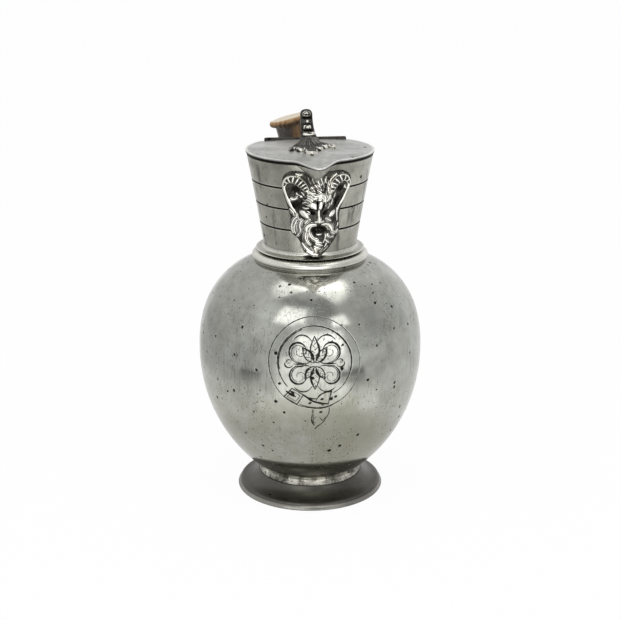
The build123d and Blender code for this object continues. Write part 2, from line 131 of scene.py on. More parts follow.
@contextmanager
def editing(piece: Piece, select: str = "SELECT") -> Iterator[None]:
    """Edit the mesh of one object.

    Args:
        piece: The object to edit.
        select: What happens to the selection first. An empty text leaves it alone.
    """
    activate(piece)
    bpy.ops.object.mode_set(mode="EDIT")
    if select:
        bpy.ops.mesh.select_all(action=select)
    yield
    bpy.ops.object.mode_set(mode="OBJECT")


def extrude(step: Triple) -> None:
    """Extrude what is selected by a step in millimetres."""
    value = tuple(length * MM for length in step)
    bpy.ops.mesh.extrude_region_move(TRANSFORM_OT_translate={"value": value})


def close_up(piece: Piece) -> None:
    """Merge doubled vertices of a piece and turn its faces outwards."""
    with editing(piece):
        bpy.ops.mesh.remove_doubles(threshold=SAME_PLACE)
        bpy.ops.mesh.normals_make_consistent(inside=False)


def cut_away(piece: Piece, cutter: Piece) -> None:
    """Take one object's body out of another, and drop the cutter."""
    modify(piece, "BOOLEAN", operation="DIFFERENCE", object=cutter, solver="EXACT")
    bpy.data.objects.remove(cutter)


def join_into(name: str, parts: list[Piece]) -> Piece:
    """Join several meshes into one object.

    Args:
        name: The name of the joined object.
        parts: The objects, of which the first stays.

    Returns:
        The joined object.
    """
    deselect_all()
    for part in parts:
        part.select_set(True)
    bpy.context.view_layer.objects.active = parts[0]
    bpy.ops.object.join()
    return take_new(name)


def arc(centre: Pair, radius: float, start: float, end: float, count: int) -> list[Pair]:
    """Points along a circle arc.

    Args:
        centre: Centre of the circle.
        radius: Its radius.
        start: Angle of the first point in degrees.
        end: Angle of the last point in degrees.
        count: How many steps the arc has.

    Returns:
        The points, one more than the steps.
    """
    angles = [math.radians(start + (end - start) * i / count) for i in range(count + 1)]
    return [(centre[0] + radius * math.cos(a), centre[1] + radius * math.sin(a)) for a in angles]


def turn_outline(name: str, outline: list[Pair], steps: int = 224) -> Piece:
    """Trace an outline by extruding one point, and spin it about the jug's axis.

    Args:
        name: The name of the new object.
        outline: Radius and height of each point. It starts and ends on the axis or at one point.
        steps: How many steps the spin has.

    Returns:
        The turned, closed object.
    """
    deselect_all()
    first = (outline[0][0] * MM, 0, outline[0][1] * MM)
    bpy.ops.mesh.primitive_plane_add(size=MM, location=first)
    piece = take_new(name)
    with editing(piece):
        bpy.ops.mesh.merge(type="CENTER")
        for here, there in zip(outline, outline[1:]):
            extrude((there[0] - here[0], 0, there[1] - here[1]))
        bpy.ops.mesh.select_all(action="SELECT")
        bpy.ops.mesh.remove_doubles(threshold=SAME_PLACE)
        bpy.ops.mesh.spin(steps=steps, angle=math.tau, center=(0, 0, 0), axis=(0, 0, 1))
    close_up(piece)
    return piece


def smooth_rows(rows: list[tuple[float, ...]], count: int) -> list[np.ndarray]:
    """Rows of numbers along a smooth curve through the given rows, evenly spaced.

    Args:
        rows: Rows that the curve passes through. Places come first in each row.
        count: How many rows to return.

    Returns:
        Rows along a natural cubic spline, whose parameter is the distance between the rows.
    """
    known = np.array(rows, float)
    gaps = np.linalg.norm(np.diff(known[:, :3], axis=0), axis=1)
    places = np.concatenate([[0.0], np.cumsum(gaps)])
    last = len(known) - 1
    system = np.eye(last + 1)
    right = np.zeros_like(known)
    for i in range(1, last):
        system[i, i - 1 : i + 2] = gaps[i - 1], 2 * (gaps[i - 1] + gaps[i]), gaps[i]
        slopes = np.diff(known[i - 1 : i + 2], axis=0) / gaps[i - 1 : i + 1, None]
        right[i] = 6 * (slopes[1] - slopes[0])
    bends = np.linalg.solve(system, right)
    result = []
    for place in np.linspace(0, places[-1], count):
        i = min(int(np.searchsorted(places, place, side="right")) - 1, last - 1)
        before, after = place - places[i], places[i + 1] - place
        gap = gaps[i]
        cubic = (bends[i] * after**3 + bends[i + 1] * before**3) / (6 * gap)
        straight = (known[i] / gap - bends[i] * gap / 6) * after
        straight += (known[i + 1] / gap - bends[i + 1] * gap / 6) * before
        result.append(cubic + straight)
    return result


def places_of(piece: Piece) -> np.ndarray:
    """Places of a mesh's vertices in millimetres."""
    places = np.empty(len(piece.data.vertices) * 3)
    piece.data.vertices.foreach_get("co", places)
    return places.reshape(-1, 3) / MM


def set_values(piece: Piece, name: str, values: np.ndarray) -> None:
    """Write one number for each vertex to a named attribute of a mesh."""
    attribute = piece.data.attributes.new(name, "FLOAT", "POINT")
    attribute.data.foreach_set("value", values.astype(np.float32))


def move_to(piece: Piece, places: np.ndarray) -> None:
    """Put a mesh's vertices at places in millimetres."""
    piece.data.vertices.foreach_set("co", (places * MM).ravel())


def sides_of(path: np.ndarray) -> tuple[np.ndarray, np.ndarray]:
    """Directions along a path given across and up, and those square to it."""
    step = np.gradient(path[:, :2], axis=0)
    step /= np.hypot(*step.T)[:, None]
    return step, np.stack([-step[:, 1], step[:, 0]], axis=1)


class ReliefSheet:
    """A dense sheet that mounds, strokes and hollows shape into a casting.

    The sheet lies flat while it is carved. Its two flat directions are called across and up. Every
    stroke darkens the bare ground beside it with painted shade, as of an undercut, out to the
    halo's multiple of its half width.
    """

    thinnest = 0.12
    halo = 1.8
    halo_shade = 0.45
    deepest = -0.45
    rim_height = 0.5
    thickness = 3.0

    def __init__(self, name: str, outline: tuple[Pair, ...], cell: float) -> None:
        """Cut the flat sheet out of a grid.

        Args:
            name: Name of the object.
            outline: Points round the sheet, which a smooth closed curve joins.
            cell: Size of the grid's cells in millimetres.
        """
        looped = [(u, v, 0.0) for u, v in outline[-3:] + outline + outline[:3]]
        rows = np.array(smooth_rows(looped, 60 * len(outline)))
        start = np.argmin(np.hypot(*(rows[: len(rows) // 2, :2] - outline[0]).T))
        end = len(rows) // 2 + np.argmin(np.hypot(*(rows[len(rows) // 2 :, :2] - outline[0]).T))
        self.rim = rows[start:end:4, :2]
        low, high = self.rim.min(axis=0), self.rim.max(axis=0)
        counts = np.ceil((high - low) / cell).astype(int)
        deselect_all()
        across, up = (int(count) for count in counts)
        bpy.ops.mesh.primitive_grid_add(x_subdivisions=across, y_subdivisions=up, size=MM)
        bpy.ops.transform.resize(value=(*(high - low), 1))
        bpy.ops.transform.translate(value=(*((high + low) / 2 * MM), 0))
        self.piece = take_new(name)
        self._trim()
        self.u, self.v = places_of(self.piece)[:, :2].T
        self.inward = np.full(len(self.u), np.inf)
        for u, v in self.rim:
            self.inward = np.minimum(self.inward, np.hypot(self.u - u, self.v - v))
        self.ground = np.zeros(len(self.u))
        self.detail = np.zeros(len(self.u))
        self.shine = np.zeros(len(self.u))

    def _trim(self) -> None:
        """Take away what lies outside the outline, and bring the new edge onto it."""
        places = places_of(self.piece)
        u, v = places[:, 0], places[:, 1]
        inside = np.zeros(len(u), bool)
        for (au, av), (bu, bv) in zip(self.rim, np.roll(self.rim, -1, axis=0)):
            if av != bv:
                inside ^= ((av > v) != (bv > v)) & (u < (bu - au) * (v - av) / (bv - av) + au)
        with editing(self.piece, "DESELECT"):
            bpy.ops.mesh.select_mode(type="VERT")
        self.piece.data.vertices.foreach_set("select", ~inside)
        with editing(self.piece, ""):
            bpy.ops.mesh.delete(type="VERT")
            bpy.ops.mesh.select_all(action="SELECT")
            bpy.ops.mesh.delete_loose()
        mesh = self.piece.data
        used = np.empty(len(mesh.loops), int)
        mesh.loops.foreach_get("edge_index", used)
        ends = np.empty(len(mesh.edges) * 2, int)
        mesh.edges.foreach_get("vertices", ends)
        rim_edges = np.bincount(used, minlength=len(mesh.edges)) == 1
        self.rim_vertices = np.unique(ends.reshape(-1, 2)[rim_edges])
        places = places_of(self.piece)
        for index in self.rim_vertices:
            away = np.hypot(*(self.rim - places[index, :2]).T)
            places[index, :2] = self.rim[np.argmin(away)]
        move_to(self.piece, places)

    def _near(self, path: np.ndarray) -> Arrays:
        """Vertices near a path, their distances as shares of its width, and their nearest knots."""
        reach = path[:, 3].max()
        low, high = path[:, :2].min(axis=0) - reach, path[:, :2].max(axis=0) + reach
        level = (self.v > low[1]) & (self.v < high[1])
        near = np.flatnonzero((self.u > low[0]) & (self.u < high[0]) & level)
        away = np.hypot(self.u[near, None] - path[:, 0], self.v[near, None] - path[:, 1])
        away /= path[:, 3]
        knot = np.argmin(away, axis=1)
        share = away[np.arange(len(near)), knot]
        close = share < 1
        return near[close], share[close], knot[close]

    def mound(self, rows: tuple[Triple, ...], height: float, bright: float = 0.0) -> None:
        """Raise a broad rounded ridge along points given across, up and half width."""
        path = np.array(smooth_rows([(u, v, 0.0, half) for u, v, half in rows], 12 * len(rows)))
        near, share, knot = self._near(path)
        rounded = np.sqrt(1 - share**2)
        size = path[knot, 3] / path[:, 3].max()
        raised = self.ground[near] * 0.25 + height * rounded * size
        self.ground[near] = np.maximum(self.ground[near], raised)
        self.shine[near] = np.maximum(self.shine[near], bright * rounded)

    def stroke(self, *rows: Triple, bright: float = 1.0, crest: float = 0.9) -> None:
        """Add a fine lock or line along points given across, up and half width."""
        count = 14 * len(rows)
        path = np.array(smooth_rows([(u, v, 0.0, half) for u, v, half in rows], count))
        path[:, 3] *= 1 + 0.16 * np.sin(np.arange(count) * 0.83 + rows[0][0] * 3)
        path[:, 3] = path[:, 3].clip(self.thinnest)
        # Painted shade: the bare ground beside the stroke is darkened as an undercut would shade
        # it.
        near, _, _ = self._near(path * (1, 1, 1, self.halo))
        bare = near[self.detail[near] < self.thinnest]
        self.shine[bare] *= self.halo_shade
        near, share, _ = self._near(path)
        rounded = np.sqrt(1 - share**2)
        self.detail[near] = np.maximum(self.detail[near], crest * path[:, 3].max() * rounded)
        shine = bright * np.minimum(1.0, 1.5 * rounded**2)
        self.shine[near] = np.maximum(self.shine[near], shine)

    def lump(
        self, centre: Pair, radii: Pair, height: float, bright: float = 0.0, turn: float = 0.0
    ) -> None:
        """Raise a soft lump, or sink a hollow where the height is below nought."""
        lean = math.radians(turn)
        across, up = self.u - centre[0], self.v - centre[1]
        along = (across * math.cos(lean) + up * math.sin(lean)) / radii[0]
        over = (-across * math.sin(lean) + up * math.cos(lean)) / radii[1]
        bell = np.exp(-((along**2 + over**2) ** 1.3))
        self.ground += height * bell
        if height < 0:
            self.shine *= 1 - np.minimum(1.0, 1.3 * bell)
            self.detail *= 1 - bell
        else:
            self.shine = np.maximum(self.shine, bright * np.minimum(1.0, 1.4 * bell))

    def strokes(self, table: tuple[Stroke, ...]) -> None:
        """Add every stroke of a table."""
        for rows, bright in table:
            self.stroke(*rows, bright=bright)

    def lumps(self, table: tuple[tuple, ...]) -> None:
        """Raise or sink every lump of a table."""
        for lump in table:
            self.lump(*lump)

    def finish(self, place: Callable[..., Arrays], back: Callable[..., Arrays]) -> Piece:
        """Bend the carved sheet into place and close it behind.

        Args:
            place: Gives the front's places for arrays across, up and raised.
            back: Gives the back's places for arrays across and up.

        Returns:
            The closed casting, with its brightness in the attribute "relief".
        """
        raised = (self.ground + self.detail).clip(self.deepest)
        raised[self.rim_vertices] = np.minimum(raised[self.rim_vertices], self.rim_height)
        front = np.stack(place(self.u, self.v, raised), axis=1)
        set_values(self.piece, "relief", self.shine)
        with editing(self.piece):
            extrude((0, 0, -self.thickness))
        places = places_of(self.piece)
        low = places[:, 2] < -self.thickness / 2
        behind = np.stack(back(places[low, 0], places[low, 1]), axis=1)
        flat = {(round(u, 4), round(v, 4)): i for i, (u, v) in enumerate(zip(self.u, self.v))}
        order = [flat[round(u, 4), round(v, 4)] for u, v, _ in places[~low]]
        places[~low] = front[order]
        places[low] = behind
        move_to(self.piece, places)
        close_up(self.piece)
        return self.piece


# ---------------------------------------------------------------- the jug's own lines


@dataclass(frozen=True)
class JugLines:
    """Outlines that several pieces share."""

    belly_radius: float = 75.0
    belly_low: float = 100.3
    belly_high: float = 103.3
    lower_arc: float = 107.8
    upper_arc: float = 85.4
    shoulder_arc: float = 54.4
    shoulder_angle: float = 14.8
    bowl_bottom: float = 14.5
    bowl_wall: float = 1.6
    bowl_opening: float = 27.9
    neck_base: float = 164.705
    neck_length: float = 69.6
    neck_base_radius: float = 29.5
    neck_top_radius: float = 41.6
    neck_hollow: float = 0.35
    neck_wall: float = 1.6
    lip_reach: float = 58.5
    lip_tip_radius: float = 4.2
    lip_root_half_width: float = 14.0
    lip_root_reach: float = 38.0
    lip_fillet: float = 14.0
    lid_gap: float = 0.35
    lid_thickness: float = 1.3
    dome_radius: float = 750.0

    @property
    def rim(self) -> float:
        """Height of the neck's rim."""
        return self.neck_base + self.neck_length

    @property
    def lid_top(self) -> float:
        """Height of the lid's top on the jug's axis."""
        return self.rim + self.lid_gap + self.dome_drop(self.neck_top_radius) + self.lid_thickness

    @property
    def shoulder_centre(self) -> Pair:
        """Centre of the arc at the bowl's shoulder."""
        start = (self.belly_radius - self.upper_arc, self.belly_high)
        return arc(start, self.upper_arc - self.shoulder_arc, self.shoulder_angle, 0, 1)[0]

    def dome_drop(self, reach: float) -> float:
        """How far the lid's dome has dropped at a distance from the axis."""
        return self.dome_radius - math.sqrt(self.dome_radius**2 - reach**2)

    def bowl_outline(self, inset: float, fineness: int) -> list[Pair]:
        """Outline of the bowl from the middle of its bottom up to its opening.

        Args:
            inset: How far inside the outer skin the outline runs.
            fineness: How many steps each long arc has.

        Returns:
            Radius and height of each point.
        """
        lower = self.lower_arc - inset
        start = -math.degrees(math.asin((self.belly_low - self.bowl_bottom - inset) / lower))
        low_centre = (self.belly_radius - self.lower_arc, self.belly_low)
        high_centre = (self.belly_radius - self.upper_arc, self.belly_high)
        shoulder = self.shoulder_arc - inset
        centre = self.shoulder_centre
        end = math.degrees(math.acos((self.bowl_opening - centre[0]) / shoulder))
        return (
            [(0.0, self.bowl_bottom + inset)]
            + arc(low_centre, lower, start, 0, fineness)
            + arc(high_centre, self.upper_arc - inset, 0, self.shoulder_angle, fineness // 3)
            + arc(centre, shoulder, self.shoulder_angle, end, fineness)[1:]
        )

    def bowl_radius(self, height: float) -> float:
        """Outer radius of the bowl at a height."""
        if height < self.belly_low:
            reach = math.sqrt(self.lower_arc**2 - (height - self.belly_low) ** 2)
            return self.belly_radius - self.lower_arc + reach
        if height <= self.belly_high:
            return self.belly_radius
        angle = math.asin(min(1.0, (height - self.belly_high) / self.upper_arc))
        if math.degrees(angle) < self.shoulder_angle:
            return self.belly_radius - self.upper_arc + self.upper_arc * math.cos(angle)
        centre = self.shoulder_centre
        return centre[0] + math.sqrt(max(0.0, self.shoulder_arc**2 - (height - centre[1]) ** 2))

    def neck_radius(self, height: float) -> float:
        """Outer radius of the neck at a height."""
        rise, flare = self.neck_length, self.neck_top_radius - self.neck_base_radius
        chord = math.hypot(rise, flare)
        radius = chord**2 / (8 * self.neck_hollow) + self.neck_hollow / 2
        reach = radius - self.neck_hollow
        middle = (self.neck_base_radius + flare / 2, self.neck_base + rise / 2)
        centre = (middle[0] + reach * rise / chord, middle[1] - reach * flare / chord)
        return centre[0] - math.sqrt(radius**2 - (height - centre[1]) ** 2)

    def mouth_outline(self, overhang: float) -> list[Pair]:
        """Outline of the mouth with its beak, seen from above.

        Args:
            overhang: How far outside the rim the outline runs.

        Returns:
            Points from the back of the mouth round the right side to the beak and back.
        """
        tip_radius = self.lip_tip_radius + overhang
        tip = Vector((0, -(self.lip_reach - self.lip_tip_radius)))
        root = Vector((self.lip_root_half_width + overhang, -self.lip_root_reach))
        span = root - tip
        lean = math.atan2(span.y, span.x) - math.acos(tip_radius / span.length)
        across = Vector((math.cos(lean), math.sin(lean)))
        side = across.dot(tip) + tip_radius
        rim = self.neck_top_radius + overhang
        fillet = self.lip_fillet
        along = Vector((-across.y, across.x))
        slide = math.sqrt((rim + fillet) ** 2 - (side + fillet) ** 2)
        centre = across * (side + fillet) - along * slide
        on_rim = math.degrees(math.atan2(centre.y, centre.x))
        half = arc((0, 0), rim, 90, on_rim, 84)
        turn_start = on_rim + 180
        turn_end = math.degrees(lean) + 180
        half += arc(centre, fillet, turn_start, turn_end, 14)[1:]
        half += arc(tuple(tip), tip_radius, math.degrees(lean), -90, 14)
        return half + [(-x, y) for x, y in half[-2:0:-1]]


# ---------------------------------------------------------------- finishes

PIT_BLACK = (0.012, 0.011, 0.009)
# Black of the grime in the bowl's engraving, and of the painted shade in creases and under the lid.
GRIME_AND_SHADE_BLACK = (0.014, 0.013, 0.011)
SCRATCH_DARK = (0.14, 0.135, 0.12)
STREAK_DARK = (0.10, 0.097, 0.084)
WARM_TARNISH = (0.40, 0.385, 0.285)
GROOVE_BROWN = (0.035, 0.022, 0.014)
RIM_AMBER = (0.27, 0.135, 0.038)
RIM_SHADE = (0.075, 0.038, 0.013)


def socket_group(name: str, inputs: dict[str, float], output: str) -> Tree:
    """A new shader group with a vector input, number inputs and one number output.

    Args:
        name: Name of the group.
        inputs: Names and starting values of its number inputs.
        output: Name of its output.

    Returns:
        The group, with its input and output nodes in place.
    """
    group = bpy.data.node_groups.new(name, "ShaderNodeTree")
    group.interface.new_socket("Vector", in_out="INPUT", socket_type="NodeSocketVector")
    for key, value in inputs.items():
        socket = group.interface.new_socket(key, in_out="INPUT", socket_type="NodeSocketFloat")
        socket.default_value = value
    group.interface.new_socket(output, in_out="OUTPUT", socket_type="NodeSocketFloat")
    group.nodes.new("NodeGroupInput")
    group.nodes.new("NodeGroupOutput")
    return group


class Wires:
    """Short ways to add and join the nodes of one material or group."""

    def __init__(self, tree: Tree) -> None:
        """Keep the tree that the nodes go into."""
        self.tree = tree

    def feed(self, node: Node, key: object, value: object) -> None:
        """Give an input of a node its value, or join the socket that feeds it."""
        if isinstance(value, Socket):
            self.tree.links.new(value, node.inputs[key])
        else:
            node.inputs[key].default_value = value

    def node(self, kind: str, inputs: dict[object, object], **settings: object) -> Node:
        """Add a node and set its settings and inputs.

        Args:
            kind: Blender's name for the node's kind, without "ShaderNode".
            inputs: For each input its value, or the socket that feeds it.
            **settings: Values of the node's own settings.

        Returns:
            The node.
        """
        node = self.tree.nodes.new("ShaderNode" + kind)
        for key, value in settings.items():
            setattr(node, key, value)
        for key, value in inputs.items():
            self.feed(node, key, value)
        return node

    def maths(self, operation: str, *values: object, clamp: bool = False) -> Socket:
        """The result of one arithmetic step on numbers or sockets."""
        node = self.node("Math", dict(enumerate(values)), operation=operation, use_clamp=clamp)
        return node.outputs[0]

    def times(self, one: object, other: object, clamp: bool = False) -> Socket:
        """The product of two values."""
        return self.maths("MULTIPLY", one, other, clamp=clamp)

    def plus(self, one: object, other: object, clamp: bool = False) -> Socket:
        """The sum of two values."""
        return self.maths("ADD", one, other, clamp=clamp)

    def minus(self, one: object, other: object) -> Socket:
        """What is left of one value after another is taken away."""
        return self.maths("SUBTRACT", one, other)

    def most(self, one: object, other: object) -> Socket:
        """The greater of two values."""
        return self.maths("MAXIMUM", one, other)

    def ramp(
        self, value: object, low: float, high: float, start: float = 0.0, end: float = 1.0
    ) -> Socket:
        """A value moved smoothly from one range to another, and held at its ends."""
        ranges = {"Value": value, "From Min": low, "From Max": high, "To Min": start, "To Max": end}
        return self.node("MapRange", ranges, interpolation_type="SMOOTHSTEP").outputs[0]

    def between(self, share: object, one: object, other: object) -> Socket:
        """A number between two, at a share of the way to the second."""
        return self.node("Mix", {0: share, 2: one, 3: other}, data_type="FLOAT").outputs[0]

    def blend(self, share: object, one: object, other: object) -> Socket:
        """Two colours mixed by a share of the second."""
        node = self.node("Mix", {"Factor": share}, data_type="RGBA")
        for index, value in ((6, one), (7, other)):
            self.feed(node, index, value if isinstance(value, Socket) else (*value, 1.0))
        return node.outputs[2]

    def noise(self, place: Socket, scale: object, detail: float = 2.0) -> Socket:
        """Soft noise, finer for a greater scale."""
        return self.node("TexNoise", {"Vector": place, "Scale": scale, "Detail": detail}).outputs[0]

    def stretch(self, place: Socket, along: float) -> Socket:
        """Places whose patterns are drawn out upwards."""
        return self.node("Mapping", {"Vector": place, "Scale": (1.0, 1.0, along)}).outputs[0]

    def attribute(self, name: str) -> Socket:
        """A number that the mesh's vertices carry."""
        return self.node("Attribute", {}, attribute_name=name).outputs["Fac"]

    def place(self, kind: str = "Object") -> Socket:
        """Coordinates of one kind."""
        return self.node("TexCoord", {}).outputs[kind]

    def part(self, place: Socket, index: int) -> Socket:
        """One number of a place."""
        return self.node("SeparateXYZ", {0: place}).outputs[index]

    def group(self, tree: Tree, place: Socket, **values: object) -> Socket:
        """What a shared group gives at a place."""
        return self.node("Group", {"Vector": place, **values}, node_tree=tree).outputs[0]

    def bump(self, shader: Node, height: Socket, strength: float, depth: float) -> None:
        """Dent a shader's surface by a height, whose whole range is a depth in millimetres."""
        bump = self.node("Bump", {"Height": height, "Strength": strength, "Distance": depth * MM})
        self.feed(shader, "Normal", bump.outputs[0])

    def result(self, key: str, socket: Socket) -> None:
        """Join a socket to an output of the group."""
        end = next(n for n in self.tree.nodes if n.bl_idname == "NodeGroupOutput")
        self.tree.links.new(socket, end.inputs[key])

    def given(self, key: str) -> Socket:
        """An input of the group."""
        start = next(n for n in self.tree.nodes if n.bl_idname == "NodeGroupInput")
        return start.outputs[key]


class SurfaceEffects:
    """Shared groups for what casting, use and age leave on metal and antler."""

    def __init__(self) -> None:
        """Build every group once."""
        self.pits = self._make_pits()
        self.scratches = self._make_scratches()
        self.clouds = self._make_clouds()

    def _make_pits(self) -> Tree:
        """Small irregular pits, in scattered cells."""
        group = socket_group("casting_pits", {"Cells": 150.0, "Share": 0.3, "Size": 0.2}, "Pit")
        wires = Wires(group)
        place = wires.given("Vector")
        wobble = wires.node("TexNoise", {"Vector": place, "Scale": 900.0}).outputs["Color"]
        shift = wires.node("VectorMath", {0: wobble, "Scale": 0.0012}, operation="SCALE").outputs[0]
        place = wires.node("VectorMath", {0: place, 1: shift}, operation="ADD").outputs[0]
        cells = wires.node("TexVoronoi", {"Vector": place, "Scale": wires.given("Cells")})
        draw = wires.node("SeparateColor", {"Color": cells.outputs["Color"]})
        chosen = wires.maths("LESS_THAN", draw.outputs[0], wires.given("Share"))
        girth = wires.times(wires.given("Size"), wires.plus(draw.outputs[1], 0.35))
        edge = wires.minus(girth, cells.outputs["Distance"])
        depth = wires.ramp(wires.maths("DIVIDE", edge, girth), 0.0, 0.45)
        wires.result("Pit", wires.times(chosen, depth, clamp=True))
        return group

    def _make_scratches(self) -> Tree:
        """Fine straight scratches in two directions."""
        group = socket_group("fine_scratches", {"Scale": 60.0, "Width": 0.02}, "Scratch")
        wires = Wires(group)
        place = wires.given("Vector")
        lines = []
        for turn, stretch, low in (((0.3, 0.2, 0.9), 0.035, 0.50), ((0.9, -0.4, -0.5), 0.05, 0.47)):
            way = {"Vector": place, "Rotation": turn, "Scale": (1.0, 1.0, stretch)}
            turned = wires.node("Mapping", way).outputs[0]
            field = wires.noise(turned, wires.times(wires.given("Scale"), 6.0))
            off = wires.maths("ABSOLUTE", wires.minus(field, low))
            line = wires.maths("LESS_THAN", off, wires.times(wires.given("Width"), 0.25))
            patch = wires.noise(place, 38.0 + 400 * stretch)
            lines.append(wires.times(line, wires.ramp(patch, 0.48, 0.62)))
        wires.result("Scratch", wires.most(*lines))
        return group

    def _make_clouds(self) -> Tree:
        """Soft patches of tarnish at two sizes."""
        group = socket_group("tarnish_clouds", {"Scale": 20.0, "Contrast": 0.5}, "Cloud")
        wires = Wires(group)
        place, scale = wires.given("Vector"), wires.given("Scale")
        wide = {"Vector": place, "Scale": scale, "Detail": 4.0, "Distortion": 0.4}
        fine = {"Vector": place, "Scale": wires.times(scale, 7.0), "Detail": 5.0, "Roughness": 0.65}
        wide, fine = (wires.node("TexNoise", inputs).outputs[0] for inputs in (wide, fine))
        both = wires.plus(wires.times(wide, 0.65), wires.times(fine, 0.35))
        spread = wires.times(wires.minus(both, 0.5), wires.times(wires.given("Contrast"), 6.0))
        wires.result("Cloud", wires.plus(spread, 0.5, clamp=True))
        return group


def new_material(name: str, roughness: float, metallic: float) -> tuple[Wires, Node, Material]:
    """A material with an empty principled shader.

    Args:
        name: Name of the material.
        roughness: Roughness before any pattern.
        metallic: Share of metal.

    Returns:
        The wiring helper, the shader and the material.
    """
    material = bpy.data.materials.new(name)
    material.use_nodes = True
    shader = material.node_tree.nodes["Principled BSDF"]
    shader.inputs["Roughness"].default_value = roughness
    shader.inputs["Metallic"].default_value = metallic
    return Wires(material.node_tree), shader, material


@dataclass(frozen=True)
class PewterFinish:
    """Pewter with tarnish clouds, pits, scratches and slight hammering, and with painted highlights
    and painted shade.

    The heights warm_top and painted_shadow_above are in millimetres, and nought leaves their
    effects out.
    """

    name: str
    light: Triple
    tarnished: Triple
    roughness: float = 0.24
    rough_spread: float = 0.12
    cloud_scale: float = 20.0
    cloud_contrast: float = 0.45
    pit_cells: float = 165.0
    pit_share: float = 0.34
    pit_size: float = 0.2
    scratch_scale: float = 60.0
    scratch_width: float = 0.05
    wave_depth: float = 0.25
    # Colour of the painted highlights that the mesh's marks ask for.
    painted_highlight_colour: Triple = (0.78, 0.77, 0.71)
    streaks: float = 0.0
    warm_top: float = 0.0
    fine_pits: bool = False
    # Height in millimetres above which the pewter is painted black, as the shadow under the lid.
    painted_shadow_above: float = 0.0

    def material(self, effects: SurfaceEffects) -> Material:
        """Build the pewter from the shared groups."""
        wires, shader, material = new_material(self.name, self.roughness, 1.0)
        place = wires.place()
        patches = {"Scale": self.cloud_scale, "Contrast": self.cloud_contrast}
        cloud = wires.group(effects.clouds, place, **patches)
        lines = {"Scale": self.scratch_scale, "Width": self.scratch_width}
        scratch = wires.group(effects.scratches, place, **lines)
        pit = self._pits(wires, effects, place)
        # Painted shade: black above that height, or, from the mesh's marks, painted shade and the
        # grime of engraved lines.
        if self.painted_shadow_above:
            soft = 0.12
            top = wires.part(place, 2)
            grime_and_painted_shade = wires.ramp(top, (self.painted_shadow_above - soft) * MM, (self.painted_shadow_above + soft) * MM)
        else:
            grime_and_painted_shade = wires.attribute("grime_and_painted_shade")

        colour = wires.blend(cloud, self.light, self.tarnished)
        colour = wires.blend(wires.times(scratch, 0.42), colour, SCRATCH_DARK)
        if self.warm_top:
            height, top = wires.part(place, 2), self.warm_top
            low = wires.ramp(height, top * 0.55 * MM, top * MM, 1.0, 0.0)
            warm = wires.times(low, wires.ramp(cloud, 0.0, 1.0, 0.35, 0.9))
            colour = wires.blend(wires.times(warm, 0.6), colour, WARM_TARNISH)
        if self.streaks:
            streak = wires.ramp(wires.noise(wires.stretch(place, 0.13), 150.0, 3.0), 0.56, 0.72)
            colour = wires.blend(wires.times(streak, self.streaks), colour, STREAK_DARK)
        # Painted highlight, where the mesh's marks ask for one.
        painted_highlight = wires.times(wires.attribute("painted_highlight"), wires.ramp(cloud, 0.2, 0.9, 1.0, 0.6))
        colour = wires.blend(painted_highlight, colour, self.painted_highlight_colour)
        colour = wires.blend(pit, colour, PIT_BLACK)
        wires.feed(shader, "Base Color", wires.blend(grime_and_painted_shade, colour, GRIME_AND_SHADE_BLACK))

        rough = wires.plus(self.roughness, wires.times(cloud, self.rough_spread))
        rough = wires.plus(rough, wires.times(grime_and_painted_shade, 0.3))
        wires.feed(shader, "Roughness", wires.plus(rough, wires.times(pit, 0.35), clamp=True))

        height = wires.times(wires.noise(place, 34.0, 1.5), self.wave_depth)
        height = wires.plus(height, wires.times(wires.noise(place, 1300.0), 0.006))
        height = wires.minus(height, wires.times(pit, 0.28))
        height = wires.minus(height, wires.times(scratch, 0.02))
        wires.bump(shader, height, 1.0, 1.0)
        return material

    def _pits(self, wires: Wires, effects: SurfaceEffects, place: Socket) -> Socket:
        """Pits of two or three sizes, of which the smaller ones stand in nests."""

        def layer(finer: float, share: float, size: float) -> Socket:
            cells = {"Cells": self.pit_cells * finer, "Share": share, "Size": self.pit_size * size}
            return wires.group(effects.pits, place, **cells)

        nests = wires.ramp(wires.noise(place, 26.0, 1.0), 0.45, 0.6)
        small = wires.times(layer(2.7, self.pit_share * 0.8, 1.15), nests)
        pit = wires.most(layer(1.0, self.pit_share, 1.0), wires.times(small, 0.75))
        if self.fine_pits:
            nests = wires.ramp(wires.noise(place, 33.0, 3.0), 0.47, 0.6)
            pit = wires.most(pit, wires.times(layer(4.3, 0.36, 1.25), nests))
        return pit


@dataclass(frozen=True)
class PatinaFinish:
    """Cast pewter, black in its hollows and rubbed bright on what stands out."""

    name: str
    hollow: Triple = (0.010, 0.009, 0.008)
    skin: Triple = (0.085, 0.080, 0.070)
    rubbed: Triple = (0.95, 0.93, 0.86)
    low: float = 0.34
    high: float = 0.72

    def material(self, effects: SurfaceEffects) -> Material:
        """Build the patina from the mesh's own "relief" and the shared groups."""
        wires, shader, material = new_material(self.name, 0.35, 1.0)
        place = wires.place()
        level = wires.attribute("relief")
        cloud = wires.group(effects.clouds, place, Scale=90.0, Contrast=0.5)
        for field, strength in ((cloud, 0.16), (wires.noise(place, 750.0, 3.0), 0.42)):
            level = wires.plus(level, wires.times(wires.minus(field, 0.5), strength))
        colour = wires.blend(wires.ramp(level, 0.05, self.low), self.hollow, self.skin)
        colour = wires.blend(wires.ramp(level, self.low, self.high), colour, self.rubbed)
        wires.feed(shader, "Base Color", colour)
        wires.feed(shader, "Roughness", wires.ramp(level, 0.3, self.high, 0.55, 0.26))
        wires.bump(shader, wires.noise(place, 1500.0, 3.0), 0.4, 0.12)
        return material


